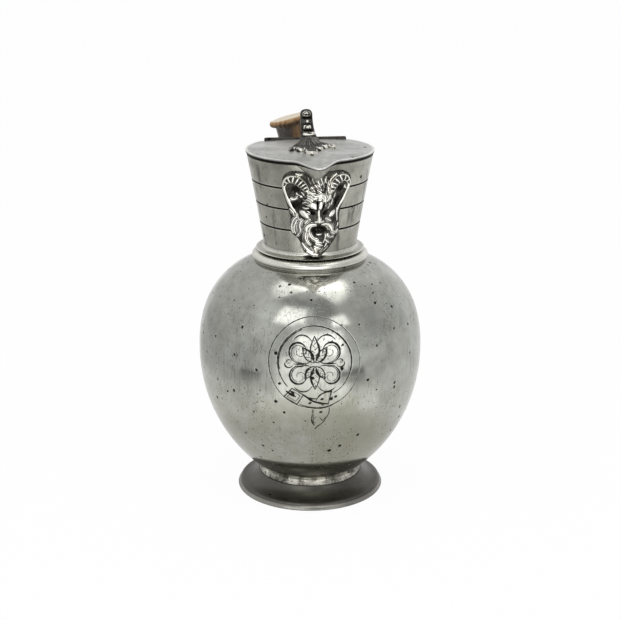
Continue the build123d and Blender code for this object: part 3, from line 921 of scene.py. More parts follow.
@dataclass(frozen=True)
class AntlerFinish:
    """Antler: cream where it is cut, amber at the burr, grey-brown along the beam."""

    name: str = "antler_beam"
    cream: Triple = (0.58, 0.51, 0.40)
    core: Triple = (0.50, 0.42, 0.31)
    amber: Triple = (0.38, 0.20, 0.065)
    brown: Triple = (0.030, 0.021, 0.015)
    grey: Triple = (0.065, 0.056, 0.047)

    def material(self, effects: SurfaceEffects) -> Material:
        """Build the antler from the mesh's own marks and the shared groups."""
        wires, shader, material = new_material(self.name, 0.5, 0.0)
        place = wires.place()
        burr = wires.attribute("burr")
        cloud = wires.group(effects.clouds, place, Scale=42.0, Contrast=0.75)
        streak = wires.noise(wires.stretch(place, 0.16), 520.0, 4.0)

        # Amber: random patches, and the painted glow of the beam's lit side from the mesh's marks.
        thin = wires.times(wires.ramp(wires.noise(place, 31.0), 0.56, 0.72), 0.35)
        thin = wires.most(thin, wires.attribute("glow"))
        thin = wires.times(thin, wires.ramp(streak, 0.3, 0.65, 0.35, 0.9))
        beam = wires.blend(thin, wires.blend(cloud, self.brown, self.grey), self.amber)
        beam = wires.blend(wires.ramp(streak, 0.58, 0.75, 0.0, 0.22), beam, self.core)
        beam = wires.blend(wires.ramp(wires.attribute("groove"), 0.35, 0.9), beam, GROOVE_BROWN)

        rim = wires.blend(wires.ramp(streak, 0.35, 0.7, 0.0, 0.4), RIM_AMBER, self.core)
        rim = wires.blend(wires.ramp(burr, 0.78, 0.98), rim, self.cream)
        rim = wires.blend(wires.ramp(burr, 0.66, 0.4), rim, RIM_SHADE)
        beam = wires.blend(wires.ramp(burr, 0.02, 0.18), beam, rim)

        pores = wires.node("TexVoronoi", {"Vector": place, "Scale": 900.0}).outputs["Distance"]
        face = wires.blend(wires.ramp(pores, 0.1, 0.35), self.core, self.cream)
        wires.feed(shader, "Base Color", wires.blend(wires.attribute("cut_face"), beam, face))
        wires.feed(shader, "Roughness", wires.ramp(cloud, 0.0, 1.0, 0.38, 0.62))
        wires.bump(shader, wires.plus(streak, wires.times(cloud, 0.5)), 0.7, 0.35)
        return material


FINISHES = {
    "bowl": PewterFinish(
        "satin_pewter_bowl",
        (0.485, 0.495, 0.46),
        (0.29, 0.295, 0.26),
        roughness=0.08,
        rough_spread=0.1,
        pit_share=0.42,
        cloud_contrast=0.6,
        warm_top=110.0,
        fine_pits=True,
        scratch_width=0.075,
    ),
    "neck": PewterFinish(
        "satin_pewter_neck",
        (0.52, 0.515, 0.455),
        (0.25, 0.245, 0.21),
        roughness=0.2,
        pit_share=0.16,
        cloud_contrast=0.6,
        streaks=0.75,
    ),
    "lid": PewterFinish(
        "satin_pewter_lid",
        (0.66, 0.66, 0.64),
        (0.38, 0.38, 0.355),
        roughness=0.28,
        cloud_scale=38.0,
        cloud_contrast=0.8,
        pit_share=0.14,
        wave_depth=0.7,
        # Near-white colour of the painted highlight along the lid's edge.
        painted_highlight_colour=(1.0, 0.995, 0.97),
    ),
    # The lip's pewter is painted lighter than the neck's, to lift it out of its shade; above 233 mm
    # it is painted black as the shadow under the lid's beak.
    "lip": PewterFinish(
        "satin_pewter_lip",
        (0.80, 0.795, 0.75),
        (0.52, 0.515, 0.47),
        roughness=0.5,
        pit_share=0.12,
        streaks=0.4,
        painted_shadow_above=233.0,
    ),
    # The collar's pewter is painted lighter than the neck's, for the highlight on its bead.
    "collar": PewterFinish(
        "satin_pewter_collar",
        (0.60, 0.595, 0.55),
        (0.38, 0.375, 0.33),
        roughness=0.2,
        pit_share=0.2,
    ),
    "hinge": PewterFinish(
        "blackened_pewter_hinge",
        (0.060, 0.057, 0.050),
        (0.022, 0.020, 0.018),
        roughness=0.42,
        pit_share=0.1,
    ),
    "fitting": PewterFinish(
        "satin_pewter_fitting",
        (0.40, 0.395, 0.36),
        (0.22, 0.215, 0.19),
        roughness=0.3,
        pit_share=0.18,
    ),
    "foot": PewterFinish(
        "dark_pewter_foot",
        (0.115, 0.110, 0.098),
        (0.075, 0.071, 0.062),
        roughness=0.26,
        pit_share=0.08,
        wave_depth=0.12,
    ),
    "seat": PewterFinish(
        "worn_pewter_seat",
        (0.66, 0.64, 0.57),
        (0.11, 0.105, 0.088),
        roughness=0.34,
        cloud_scale=120.0,
        cloud_contrast=0.95,
        pit_cells=300.0,
        pit_share=0.6,
        pit_size=0.26,
        wave_depth=0.7,
    ),
    "mask": PatinaFinish("blackened_pewter_mask", (0.014, 0.013, 0.011), (0.105, 0.100, 0.088)),
    "thumbpiece": PatinaFinish(
        "blackened_pewter_thumbpiece", skin=(0.10, 0.096, 0.086), rubbed=(0.70, 0.68, 0.62)
    ),
    "antler": AntlerFinish(),
}


# ---------------------------------------------------------------- sub-assemblies

# Moulding of the neck's collar from its top down: radius and height.
COLLAR_PROFILE = (
    (31.0, 172.4), (31.35, 171.8), (32.0, 171.3), (33.2, 170.95), (34.6, 170.75), (35.6, 170.6),
    (35.95, 170.35), (35.75, 170.05), (34.7, 169.85), (33.7, 169.5), (33.6, 168.95), (34.5, 168.75),
    (35.6, 168.5), (36.7, 168.0), (37.7, 167.25), (38.4, 166.4), (38.7, 165.5), (38.55, 164.7),
    (38.1, 164.1), (37.65, 163.85), (37.65, 163.6), (37.95, 163.3), (37.8, 162.9), (37.3, 162.55),
    (36.4, 162.1), (34.0, 162.2), (30.0, 163.6),
)
# Middle line of the antler from its cut face to its lower end.
ANTLER_LINE = (
    (-7.2, 64.0, 243.505), (-4.5, 65.0, 233.005), (-1.8, 70.5, 213.005), (-0.4, 80.5, 191.005),
    (0.0, 90.5, 169.0), (0.0, 93.0, 148.0), (0.0, 90.0, 132.0), (0.0, 82.0, 120.5),
)
# How far each ring of the burr is from the dark of its underside.
BURR_SHADES = (1, 1, 1, 1, 1, 0.94, 0.76, 0.62, 0.55, 0.48, 0.3, 0.2)
# Centre line of each horn: across, up and half width. The first five points bear ribs.
LEFT_HORN = (
    (-6.8, 217.2, 1.8), (-9.4, 221.2, 2.9), (-13.2, 224.2, 3.3), (-17.2, 224.9, 2.8),
    (-20.0, 222.6, 1.8), (-20.9, 219.2, 1.2), (-19.8, 214.6, 0.9), (-17.4, 208.6, 1.25),
    (-14.8, 204.2, 1.1), (-12.3, 200.3, 0.45),
)
RIGHT_HORN = (
    (9.2, 216.8, 1.8), (10.3, 221.0, 2.8), (13.2, 224.6, 3.3), (16.9, 225.5, 2.7),
    (19.7, 223.2, 1.8), (20.6, 219.9, 1.2), (18.9, 215.4, 0.9), (16.4, 210.0, 1.1),
    (13.9, 205.9, 1.0), (12.9, 201.6, 0.7), (13.3, 196.2, 0.4),
)
# Points round the mask's plate, across and up.
MASK_PLATE = (
    (-6.0, 229.2), (-12.5, 229.9), (-17.0, 229.6), (-20.6, 227.3), (-21.9, 223.5), (-22.0, 219.0),
    (-21.0, 214.0), (-19.8, 210.0), (-18.5, 206.0), (-17.5, 202.0), (-16.5, 198.0), (-16.9, 194.0),
    (-16.7, 190.5), (-15.4, 188.0), (-13.0, 186.0), (-10.9, 183.5), (-9.7, 180.2), (-8.3, 177.3),
    (-5.0, 175.1), (-2.0, 173.8), (1.2, 173.8), (4.0, 175.5), (7.0, 178.2), (10.0, 181.5),
    (12.4, 184.8), (14.3, 188.5), (15.0, 192.0), (14.7, 196.0), (14.8, 200.0), (15.4, 204.0),
    (17.0, 208.0), (18.5, 212.0), (20.5, 216.5), (21.9, 220.5), (21.9, 224.0), (20.6, 227.4),
    (17.3, 229.5), (12.5, 229.9), (6.0, 229.4), (0.0, 229.5),
)
# Lumps: centre, radii, height, and where they are given the brightness and the turn in degrees.
# The face has skull, brows, cheekbones, nose, chin and side locks.
FACE_LUMPS = (
    ((0.2, 213.5), (6.0, 4.5), 1.4),
    ((-3.0, 208.0), (2.7, 1.9), 1.4, 0.92, -28),
    ((-1.6, 206.0), (1.4, 1.0), 0.9, 0.8),
    ((-6.9, 208.6), (2.6, 1.6), 0.8, 0.62, -12),
    ((1.9, 208.4), (1.3, 3.0), 1.2, 0.9, -8),
    ((5.6, 207.8), (1.5, 2.6), 0.9, 0.42, 12),
    ((-8.5, 201.9), (3.2, 1.7), 1.6, 0.95, -38),
    ((9.3, 202.0), (2.7, 1.5), 1.6, 0.85, 52),
    ((-6.4, 199.6), (1.7, 1.1), 1.0, 0.75, -35),
    ((0.5, 202.2), (0.9, 3.4), 1.5, 0.85),
    ((0.9, 198.6), (1.5, 2.4), 1.9, 0.95),
    ((1.1, 197.0), (1.9, 1.2), 1.4, 0.9),
    ((-1.3, 196.9), (1.1, 0.8), 1.0, 0.75, 20),
    ((3.5, 197.1), (1.0, 0.8), 1.0, 0.75, -20),
    ((0.6, 183.2), (4.2, 4.4), 1.3),
    ((-12.4, 192.0), (3.2, 6.4), 1.6),
    ((10.6, 190.6), (3.0, 4.2), 1.4),
    ((-10.4, 213.2), (2.3, 1.0), 1.5, 0.75, -4),
)
# The hollows are eyes, furrows, mouth and temples.
FACE_HOLLOWS = (
    ((-3.2, 202.8), (1.5, 0.95), -1.9, 0.0, -30),
    ((4.8, 202.8), (1.7, 1.0), -1.9, 0.0, 35),
    ((-0.35, 208.4), (0.42, 3.6), -1.3),
    ((3.5, 207.6), (0.42, 3.0), -1.1, 0.0, -14),
    ((1.1, 191.0), (4.4, 2.9), -3.6),
    ((-4.6, 205.1), (1.6, 0.5), -0.9, 0.0, 12),
    ((-7.7, 207.4), (1.1, 0.45), -0.8, 0.0, -25),
    ((-13.6, 207.6), (1.8, 2.6), -0.9, 0.0, -20),
    ((12.4, 209.6), (1.1, 4.0), -0.9, 0.0, -25),
    ((-14.0, 218.0), (2.2, 1.7), -0.9, 0.0, -25),
    ((14.8, 218.0), (2.2, 1.7), -0.9, 0.0, 40),
)
# Tongue and teeth.
MOUTH_LUMPS = (
    ((1.15, 188.9), (1.7, 0.85), 1.6, 1.0),
    ((-0.4, 191.2), (0.5, 0.5), 0.7, 0.35),
    ((1.7, 191.2), (0.5, 0.5), 0.7, 0.3),
)
# Strokes: points across, up and half width, then the brightness. These are folds by the eyes.
EYE_FOLDS = (
    (((-6.9, 204.2, 0.25), (-5.8, 203.7, 0.4), (-4.9, 202.9, 0.25)), 0.8),
    (((-7.0, 202.8, 0.2), (-5.8, 202.3, 0.35), (-4.9, 201.7, 0.2)), 0.7),
    (((6.4, 203.4, 0.2), (5.6, 202.8, 0.3), (4.9, 201.8, 0.2)), 0.45),
)
# Locks of hair and the folds of the upper face.
HAIR_STROKES = (
    (((2.6, 227.8, 0.2), (2.2, 225.2, 0.4), (2.9, 222.6, 0.4), (2.4, 220.8, 0.2)), 0.75),
    (((-3.6, 227.2, 0.2), (-3.2, 224.4, 0.4), (-2.2, 222.2, 0.35)), 0.6),
    (((5.6, 227.0, 0.2), (5.0, 224.8, 0.4), (5.4, 222.4, 0.3)), 0.8),
    (((-6.2, 226.4, 0.2), (-5.4, 224.0, 0.35), (-4.2, 221.8, 0.3)), 0.5),
    (((-9.6, 212.0, 0.2), (-8.6, 211.2, 0.35), (-7.6, 210.6, 0.2)), 0.6),
    (((9.6, 211.6, 0.2), (9.2, 209.6, 0.4), (8.2, 207.8, 0.3)), 0.8),
    (((11.6, 215.4, 0.2), (11.2, 213.2, 0.35), (10.4, 211.4, 0.2)), 0.6),
    (((7.4, 209.6, 0.2), (7.2, 207.8, 0.4), (6.4, 205.8, 0.3)), 0.7),
    (((0.9, 228.8, 0.3), (-0.2, 225.6, 0.6), (0.5, 223.0, 0.6), (1.3, 220.8, 0.4)), 1.0),
    (((4.6, 223.6, 0.3), (3.8, 221.6, 0.5), (4.1, 219.6, 0.5), (3.1, 217.6, 0.4)), 0.5),
    (((-1.8, 221.2, 0.3), (-0.6, 219.9, 0.5), (0.3, 218.6, 0.3)), 0.9),
    (((-4.2, 219.8, 0.35), (-3.0, 218.6, 0.55), (-2.2, 217.6, 0.4)), 1.0),
    (((0.8, 220.4, 0.3), (1.8, 219.4, 0.5), (2.2, 218.0, 0.4)), 0.85),
    (((-0.4, 218.0, 0.35), (1.2, 217.4, 0.5), (2.0, 216.6, 0.35)), 0.9),
    (((-6.8, 216.9, 0.4), (-5.0, 217.0, 0.5), (-3.4, 216.2, 0.45), (-1.6, 216.4, 0.3)), 0.9),
    (
        (
            (-7.0, 215.6, 0.4), (-4.6, 215.9, 0.55), (-2.2, 214.4, 0.55), (0.4, 214.8, 0.5),
            (2.8, 216.0, 0.4),
        ),
        1.0,
    ),
    (((-6.8, 214.2, 0.4), (-4.8, 213.9, 0.5), (-2.6, 212.6, 0.5), (-0.6, 213.2, 0.4)), 0.95),
    (((-6.6, 213.0, 0.4), (-4.9, 212.2, 0.5), (-3.6, 211.0, 0.4)), 0.9),
    (((-7.4, 211.6, 0.35), (-5.6, 211.0, 0.45), (-4.6, 210.0, 0.35)), 0.8),
    (((0.4, 213.2, 0.4), (2.4, 213.4, 0.5), (3.6, 212.4, 0.5), (3.8, 210.6, 0.4)), 0.95),
    (
        (
            (1.6, 215.0, 0.4), (3.9, 214.6, 0.55), (4.9, 213.0, 0.5), (4.7, 211.0, 0.5),
            (4.0, 209.2, 0.3),
        ),
        1.0,
    ),
    (((-1.0, 212.0, 0.35), (0.4, 211.8, 0.45), (2.0, 212.0, 0.35)), 0.8),
    (
        (
            (6.9, 222.6, 0.4), (7.3, 220.2, 0.5), (6.9, 217.8, 0.45), (8.0, 215.4, 0.5),
            (7.3, 212.6, 0.55), (6.2, 210.8, 0.4),
        ),
        1.0,
    ),
    (((7.9, 224.2, 0.4), (8.3, 222.0, 0.6), (8.2, 219.4, 0.4)), 1.0),
    (((8.4, 217.6, 0.3), (9.0, 215.8, 0.5), (8.4, 213.8, 0.5), (7.9, 211.8, 0.35)), 0.8),
    (((5.7, 217.4, 0.3), (5.4, 215.4, 0.45), (6.2, 213.4, 0.4), (5.7, 211.6, 0.3)), 0.6),
    (((8.2, 224.4, 0.35), (10.0, 226.4, 0.45), (12.2, 228.4, 0.4)), 0.8),
    (((14.6, 227.6, 0.3), (16.4, 228.6, 0.4)), 0.7),
    (((-13.8, 229.0, 0.35), (-11.9, 227.9, 0.5), (-9.8, 228.2, 0.35)), 0.8),
    (((-16.9, 211.6, 0.5), (-15.4, 210.8, 0.7), (-13.5, 211.4, 0.75), (-12.7, 212.9, 0.4)), 0.95),
    (((-13.3, 216.0, 0.3), (-12.7, 214.4, 0.45), (-11.2, 214.2, 0.35)), 0.7),
    (((-10.2, 216.2, 0.25), (-8.9, 214.7, 0.4), (-7.9, 213.4, 0.3)), 0.7),
    (((14.6, 213.4, 0.3), (13.3, 211.6, 0.45), (13.0, 209.8, 0.3)), 0.45),
    (((18.0, 219.8, 0.3), (17.9, 218.4, 0.45), (18.9, 217.4, 0.3)), 0.8),
    (((-9.6, 209.0, 0.35), (-7.9, 209.9, 0.45), (-6.2, 209.6, 0.35)), 0.6),
    (((-9.4, 206.2, 0.35), (-7.6, 205.9, 0.5), (-5.8, 206.3, 0.35)), 0.75),
    (((-4.6, 198.8, 0.35), (-6.4, 197.8, 0.6), (-7.9, 195.7, 0.4)), 1.0),
    (((5.0, 199.2, 0.35), (6.8, 198.2, 0.6), (8.7, 196.8, 0.35)), 0.95),
    (((-17.4, 204.4, 0.3), (-16.0, 203.0, 0.4), (-14.8, 201.4, 0.4), (-14.4, 199.6, 0.3)), 0.75),
    (((-18.0, 203.4, 0.2), (-16.6, 202.0, 0.3), (-15.6, 200.6, 0.2)), 0.5),
)
# Moustache, beard and side locks.
BEARD_STROKES = (
    (
        (
            (-0.8, 195.3, 0.4), (-3.4, 195.3, 0.7), (-5.8, 194.4, 1.0), (-7.1, 192.7, 1.0),
            (-6.9, 190.6, 0.6),
        ),
        0.95,
    ),
    (((-0.2, 194.2, 0.25), (-2.6, 194.3, 0.4), (-4.4, 193.4, 0.45), (-5.0, 191.6, 0.35)), 0.9),
    (
        (
            (2.6, 195.3, 0.4), (5.2, 195.4, 0.8), (7.7, 194.3, 1.1), (9.0, 192.4, 0.9),
            (9.4, 190.4, 0.5),
        ),
        0.95,
    ),
    (((1.9, 194.0, 0.25), (4.4, 194.2, 0.4), (6.0, 193.2, 0.4), (6.9, 191.4, 0.3)), 0.7),
    (
        (
            (9.5, 190.6, 0.4), (10.0, 188.8, 0.5), (11.4, 188.0, 0.5), (13.0, 188.8, 0.45),
            (13.6, 190.4, 0.3),
        ),
        1.0,
    ),
    (((10.6, 190.6, 0.25), (11.4, 189.6, 0.35), (12.4, 190.2, 0.3)), 0.7),
    (
        (
            (-5.4, 191.2, 0.4), (-4.9, 188.8, 0.5), (-3.8, 186.7, 0.5), (-1.9, 185.4, 0.5),
            (0.6, 185.0, 0.4),
        ),
        1.0,
    ),
    (((-4.2, 190.6, 0.25), (-3.5, 188.4, 0.35), (-2.4, 186.9, 0.3), (-0.4, 186.5, 0.25)), 0.7),
    (((4.6, 190.0, 0.3), (5.3, 187.6, 0.4), (4.8, 185.4, 0.4), (3.8, 183.4, 0.3)), 0.7),
    (((-1.4, 184.3, 0.35), (1.0, 183.9, 0.5), (3.0, 183.6, 0.35)), 0.85),
    (((-1.2, 183.0, 0.35), (1.4, 182.3, 0.6), (3.3, 181.5, 0.4)), 1.0),
    (((-2.1, 181.3, 0.4), (-0.4, 180.4, 0.65), (1.8, 179.8, 0.45)), 1.0),
    (((-1.9, 179.5, 0.45), (-0.9, 178.2, 0.65), (-0.2, 176.7, 0.4)), 1.0),
    (
        (
            (-7.1, 190.2, 0.5), (-7.5, 187.6, 0.55), (-7.3, 185.2, 0.5), (-6.0, 182.9, 0.45),
            (-4.6, 181.6, 0.3),
        ),
        1.0,
    ),
    (((-6.0, 187.6, 0.3), (-6.2, 185.4, 0.4), (-5.3, 183.5, 0.35), (-3.9, 181.9, 0.25)), 0.85),
    (((-8.8, 190.6, 0.3), (-9.1, 187.8, 0.4), (-9.2, 185.4, 0.4), (-8.4, 183.0, 0.3)), 0.55),
    (((-9.2, 182.4, 0.45), (-7.4, 179.8, 0.7), (-4.8, 177.8, 0.7), (-2.4, 177.0, 0.45)), 1.0),
    (((-6.6, 177.6, 0.4), (-4.2, 176.5, 0.8), (-1.6, 175.6, 0.8), (0.6, 175.4, 0.4)), 1.0),
    (((-7.6, 182.4, 0.3), (-6.0, 180.3, 0.4), (-4.1, 179.3, 0.3)), 0.6),
    (((-4.4, 180.8, 0.3), (-3.4, 179.4, 0.4), (-2.8, 178.0, 0.3)), 0.6),
    (
        (
            (6.5, 188.8, 0.3), (7.2, 186.9, 0.45), (8.9, 186.2, 0.45), (10.3, 186.1, 0.45),
            (10.8, 184.8, 0.35),
        ),
        1.0,
    ),
    (((5.4, 185.0, 0.35), (6.6, 183.7, 0.6), (7.8, 182.7, 0.35)), 0.95),
    (((5.9, 183.0, 0.3), (5.5, 181.4, 0.45), (4.6, 180.4, 0.3)), 0.8),
    (((8.4, 184.6, 0.3), (8.9, 182.9, 0.4), (8.2, 181.3, 0.3)), 0.5),
    (((7.2, 180.6, 0.3), (5.2, 178.8, 0.45), (3.2, 177.4, 0.45), (1.6, 176.4, 0.3)), 0.65),
    (((3.9, 180.0, 0.3), (2.6, 178.6, 0.45), (1.5, 177.4, 0.35)), 0.6),
    (
        (
            (-12.0, 199.4, 0.35), (-14.2, 197.8, 0.45), (-15.6, 194.8, 0.5), (-15.9, 191.2, 0.45),
            (-14.8, 188.5, 0.3),
        ),
        0.95,
    ),
    (
        (
            (-10.0, 198.6, 0.3), (-12.4, 197.2, 0.4), (-14.0, 194.2, 0.45), (-14.4, 190.8, 0.4),
            (-13.4, 188.2, 0.3),
        ),
        0.8,
    ),
    (
        (
            (-9.0, 198.0, 0.3), (-10.8, 196.2, 0.45), (-11.2, 193.4, 0.5), (-10.7, 190.6, 0.5),
            (-11.5, 187.9, 0.5), (-12.7, 186.4, 0.3),
        ),
        0.95,
    ),
    (((-12.7, 195.4, 0.25), (-12.8, 192.6, 0.35), (-12.5, 189.8, 0.3)), 0.65),
    (((-9.7, 196.4, 0.25), (-9.4, 193.6, 0.35), (-9.1, 191.0, 0.25)), 0.5),
    (((-13.4, 200.6, 0.3), (-11.8, 198.4, 0.4), (-10.6, 197.4, 0.25)), 0.7),
    (((13.9, 194.6, 0.3), (13.5, 192.6, 0.4), (12.2, 191.6, 0.3)), 0.7),
    (((11.2, 197.6, 0.25), (11.9, 195.2, 0.35), (11.4, 192.8, 0.25)), 0.35),
    (((9.9, 196.8, 0.25), (10.6, 194.6, 0.3), (10.6, 192.4, 0.25)), 0.4),
)
# Points round the thumbpiece's shaft and round its palmette, across and up.
SHAFT_PLATE = (
    (-4.4, -0.8), (-4.0, 1.5), (-3.7, 4.5), (-3.8, 9.0), (-3.95, 13.0), (-4.0, 16.4), (-3.6, 18.4),
    (-2.2, 19.7), (0.2, 20.2), (2.5, 19.8), (3.9, 18.4), (4.2, 16.0), (4.4, 13.0), (4.7, 10.0),
    (5.3, 6.8), (6.0, 4.4), (6.9, 2.6), (8.0, 1.2), (8.6, -0.2), (2.0, -1.4),
)
PALMETTE_PLATE = (
    (1.0, 24.0), (-3.6, 22.6), (-5.4, 15.0), (-8.4, 7.0), (-11.8, -1.0), (-14.3, -7.5),
    (-14.9, -11.0), (-13.4, -12.6), (-11.6, -11.6), (-10.6, -9.8), (-10.2, -12.6), (-8.6, -15.6),
    (-6.6, -15.6), (-5.4, -13.0), (-5.5, -17.6), (-4.8, -21.8), (-3.2, -24.8), (-1.1, -26.0),
    (0.9, -24.6), (2.5, -21.2), (3.2, -17.2), (3.3, -13.4), (5.0, -13.8), (6.9, -12.6), (7.7, -9.8),
    (7.6, -7.2), (9.6, -7.2), (11.4, -5.2), (11.5, -2.6), (13.6, -5.0), (15.6, -6.4), (16.4, -4.4),
    (14.2, 1.5), (10.8, 8.0), (8.0, 14.0), (6.2, 22.0),
)


@dataclass
class Assembly:
    """A group of pieces that is modelled and dressed together."""

    lines: JugLines
    finishes: dict[str, Material]

    def settle(
        self,
        piece: Piece,
        body: Body,
        slot: Slot,
        material: Material,
        replaced: tuple[str, ...] = (),
        sharp: float = 40.0,
    ) -> Piece:
        """Shade a finished piece, give it its finish and set it on its body.

        Args:
            piece: The finished object.
            body: The body that it rides on.
            slot: The finish that the part names. It is not used.
            material: The material that it gets first.
            replaced: CAD nodes that it stands for.
            sharp: Angle in degrees from which an edge stays sharp.

        Returns:
            The piece.
        """
        activate(piece)
        bpy.ops.object.shade_smooth_by_angle(angle=math.radians(sharp))
        if piece.data.materials:
            piece.data.materials[0] = material
        else:
            piece.data.materials.append(material)
        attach(piece, body.value)
        if replaced:
            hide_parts(*replaced)
        LOG.info("%s: %d faces on %s", piece.name, len(piece.data.polygons), body.value)
        return piece

    def mark(self, piece: Piece, name: str, bands: list[tuple[float, ...]]) -> None:
        """Write rings of painted shade and painted highlights onto a turned piece, one attribute at
        a time.

        Args:
            piece: A turned piece.
            name: The attribute, the one of painted shade or the one of painted highlights.
            bands: For each ring its height, its half width, its least radius and its strength.
        """
        places = places_of(piece)
        radius = np.hypot(places[:, 0], places[:, 1])
        values = np.zeros(len(places))
        for height, half, least, strength in bands:
            inside = (np.abs(places[:, 2] - height) < half) & (radius > least)
            values[inside] = np.maximum(values[inside], strength)
        set_values(piece, name, values)


@dataclass
class Foot(Assembly):
    """The spread foot and the ring that seats the bowl."""

    radius: float = 50.0
    round_radius: float = 46.8
    round_height: float = 4.7
    waist_radius: float = 35.6
    height: float = 11.5
    wall: float = 1.8
    standing_width: float = 3.2
    collar_radius: float = 35.3
    collar_bore: float = 32.2
    cove_depth: float = 3.0

    def build(self) -> None:
        """Turn the foot and its collar."""
        inner = self.radius - self.standing_width
        outer, top = self.radius, self.height
        under = (self.collar_bore, top - self.wall)
        outline = [(inner, 0.0), (outer - 0.35, 0.0), (outer - 0.05, 0.15), (outer, 0.45)]
        outline += [(outer - 0.12, 0.8), (49.45, 1.3), (49.05, 1.8), (48.8, 2.4), (48.6, 3.0)]
        outline += [(48.3, 3.6), (47.9, 4.1), (47.4, 4.45)]
        outline += self._cove((self.round_radius, self.round_height), (self.waist_radius, top), 12)
        outline += [(self.collar_bore, top), under]
        outline += self._cove((inner, 0.9), under, 8)[-2::-1]
        outline += [(inner, 0.0)]
        foot = turn_outline("foot_turned", outline)
        # Painted reflection: a lighter band on the rounded rim, where it mirrors the floor.
        self.mark(foot, "painted_highlight", [(1.4, 1.2, 48.0, 0.28)])
        self.settle(foot, Body.JUG, Slot.DARK, self.finishes["foot"], ("foot",))

        bore, edge = self.collar_bore, self.collar_radius
        seat = [(bore, top), (edge - 0.4, top), (edge, top + 0.4), (edge, 14.6)]
        seat += [(edge - 0.3, 15.6), (edge - 0.9, 16.1), (33.6, 16.0), (bore, 14.9), (bore, top)]
        ring = turn_outline("foot_collar_turned", seat)
        self.settle(ring, Body.JUG, Slot.SATIN, self.finishes["seat"], ("foot_collar",))

    def _cove(self, low: Pair, high: Pair, count: int) -> list[Pair]:
        """Points on a hollow curve between two points.

        Args:
            low: The lower, outer point.
            high: The upper, inner point.
            count: How many steps the curve has.

        Returns:
            The points from low to high.
        """
        points = []
        for i in range(count + 1):
            share = i / count
            sag = 4 * share * (1 - share) * self.cove_depth / 2
            radius = low[0] + (high[0] - low[0]) * share - sag / 2
            points.append((radius, low[1] + (high[1] - low[1]) * share - sag))
        return points


@dataclass
class Bowl(Assembly):
    """The round bowl, both halves in one skin, with the engraving cut into its front."""

    fineness: int = 46
    cut_depth: float = 0.2
    cut_low: float = 60.0
    cut_high: float = 150.0
    cut_front: float = -30.0
    refined_within: Triple = (5.4, 2.6, 1.15)
    search: float = 1.1
    skin_depth: float = 0.8
    # Centre and reach, across and up, of the painted highlight on the front of the shoulder.
    shine_centre: Pair = (2.0, 157.2)
    shine_reach: Pair = (17.0, 2.6)

    def build(self) -> None:
        """Turn the bowl with its wall, and engrave it."""
        outside = self.lines.bowl_outline(0, self.fineness)
        inside = self.lines.bowl_outline(self.lines.bowl_wall, self.fineness // 3)
        bowl = turn_outline("bowl_turned", outside + inside[::-1], steps=240)
        self._engrave(bowl, BeltEngraving().strokes())
        self.settle(bowl, Body.JUG, Slot.SATIN, self.finishes["bowl"], ("lower_bowl", "upper_bowl"))

    def _engrave(self, bowl: Piece, strokes: list[np.ndarray]) -> None:
        """Refine the skin along the strokes, and cut them into it.

        Args:
            bowl: The turned bowl.
            strokes: Rows of places across and up with their half widths.
        """
        knots = np.concatenate(strokes)
        reach = np.interp(knots[:, 1], *self._profile())
        front = -np.sqrt(reach**2 - knots[:, 0] ** 2)
        knots_3d = np.stack([knots[:, 0], front, knots[:, 1]], axis=1)
        tree = kdtree.KDTree(len(knots_3d))
        for index, knot in enumerate(knots_3d):
            tree.insert(knot, index)
        tree.balance()
        for limit in self.refined_within:
            self._refine(bowl, tree, limit)
        places = places_of(bowl)
        radius = np.hypot(places[:, 0], places[:, 1])
        skin = np.interp(places[:, 2], *self._profile())
        front = (radius > skin - self.skin_depth) & (places[:, 1] < self.cut_front)
        front &= (places[:, 2] > self.cut_low) & (places[:, 2] < self.cut_high)
        # Grime that fills the engraved lines.
        grime_and_painted_shade = np.zeros(len(places))
        for index in np.flatnonzero(front):
            near = tree.find_range(places[index], self.search)
            share = min((away / knots[knot, 2] for _, knot, away in near), default=math.inf)
            depth = self.cut_depth * max(0.0, 1 - share * share)
            places[index, :2] *= (skin[index] - depth) / radius[index]
            grime_and_painted_shade[index] = min(1.0, max(0.0, (1.25 - share) / 0.5))
        move_to(bowl, places)
        set_values(bowl, "grime_and_painted_shade", grime_and_painted_shade)
        # Painted highlight: a lighter patch on the front of the shoulder, where the studio's light
        # catches it.
        across = (places[:, 0] - self.shine_centre[0]) / self.shine_reach[0]
        up = (places[:, 2] - self.shine_centre[1]) / self.shine_reach[1]
        set_values(bowl, "painted_highlight", np.exp(-(across**4) - up**2) * (places[:, 1] < 0))

    def _profile(self) -> tuple[np.ndarray, np.ndarray]:
        """Heights and the bowl's radius at each."""
        heights = np.linspace(40.0, 160.0, 1600)
        return heights, np.array([self.lines.bowl_radius(z) for z in heights])

    def _refine(self, bowl: Piece, tree: kdtree.KDTree, limit: float) -> None:
        """Subdivide the outer faces that lie near a stroke."""
        mesh = bowl.data
        with editing(bowl, ""):
            bpy.ops.mesh.select_mode(type="FACE")
            bpy.ops.mesh.select_all(action="DESELECT")
        chosen = np.zeros(len(mesh.polygons), bool)
        for face in mesh.polygons:
            centre = face.center / MM
            framed = centre.y < self.cut_front and self.cut_low < centre.z < self.cut_high
            if framed and face.normal.y < 0 and len(face.vertices) == 4:
                chosen[face.index] = tree.find(centre)[2] < limit
        mesh.polygons.foreach_set("select", chosen)
        with editing(bowl, ""):
            bpy.ops.mesh.subdivide(number_cuts=1)
            bpy.ops.mesh.select_mode(type="VERT")


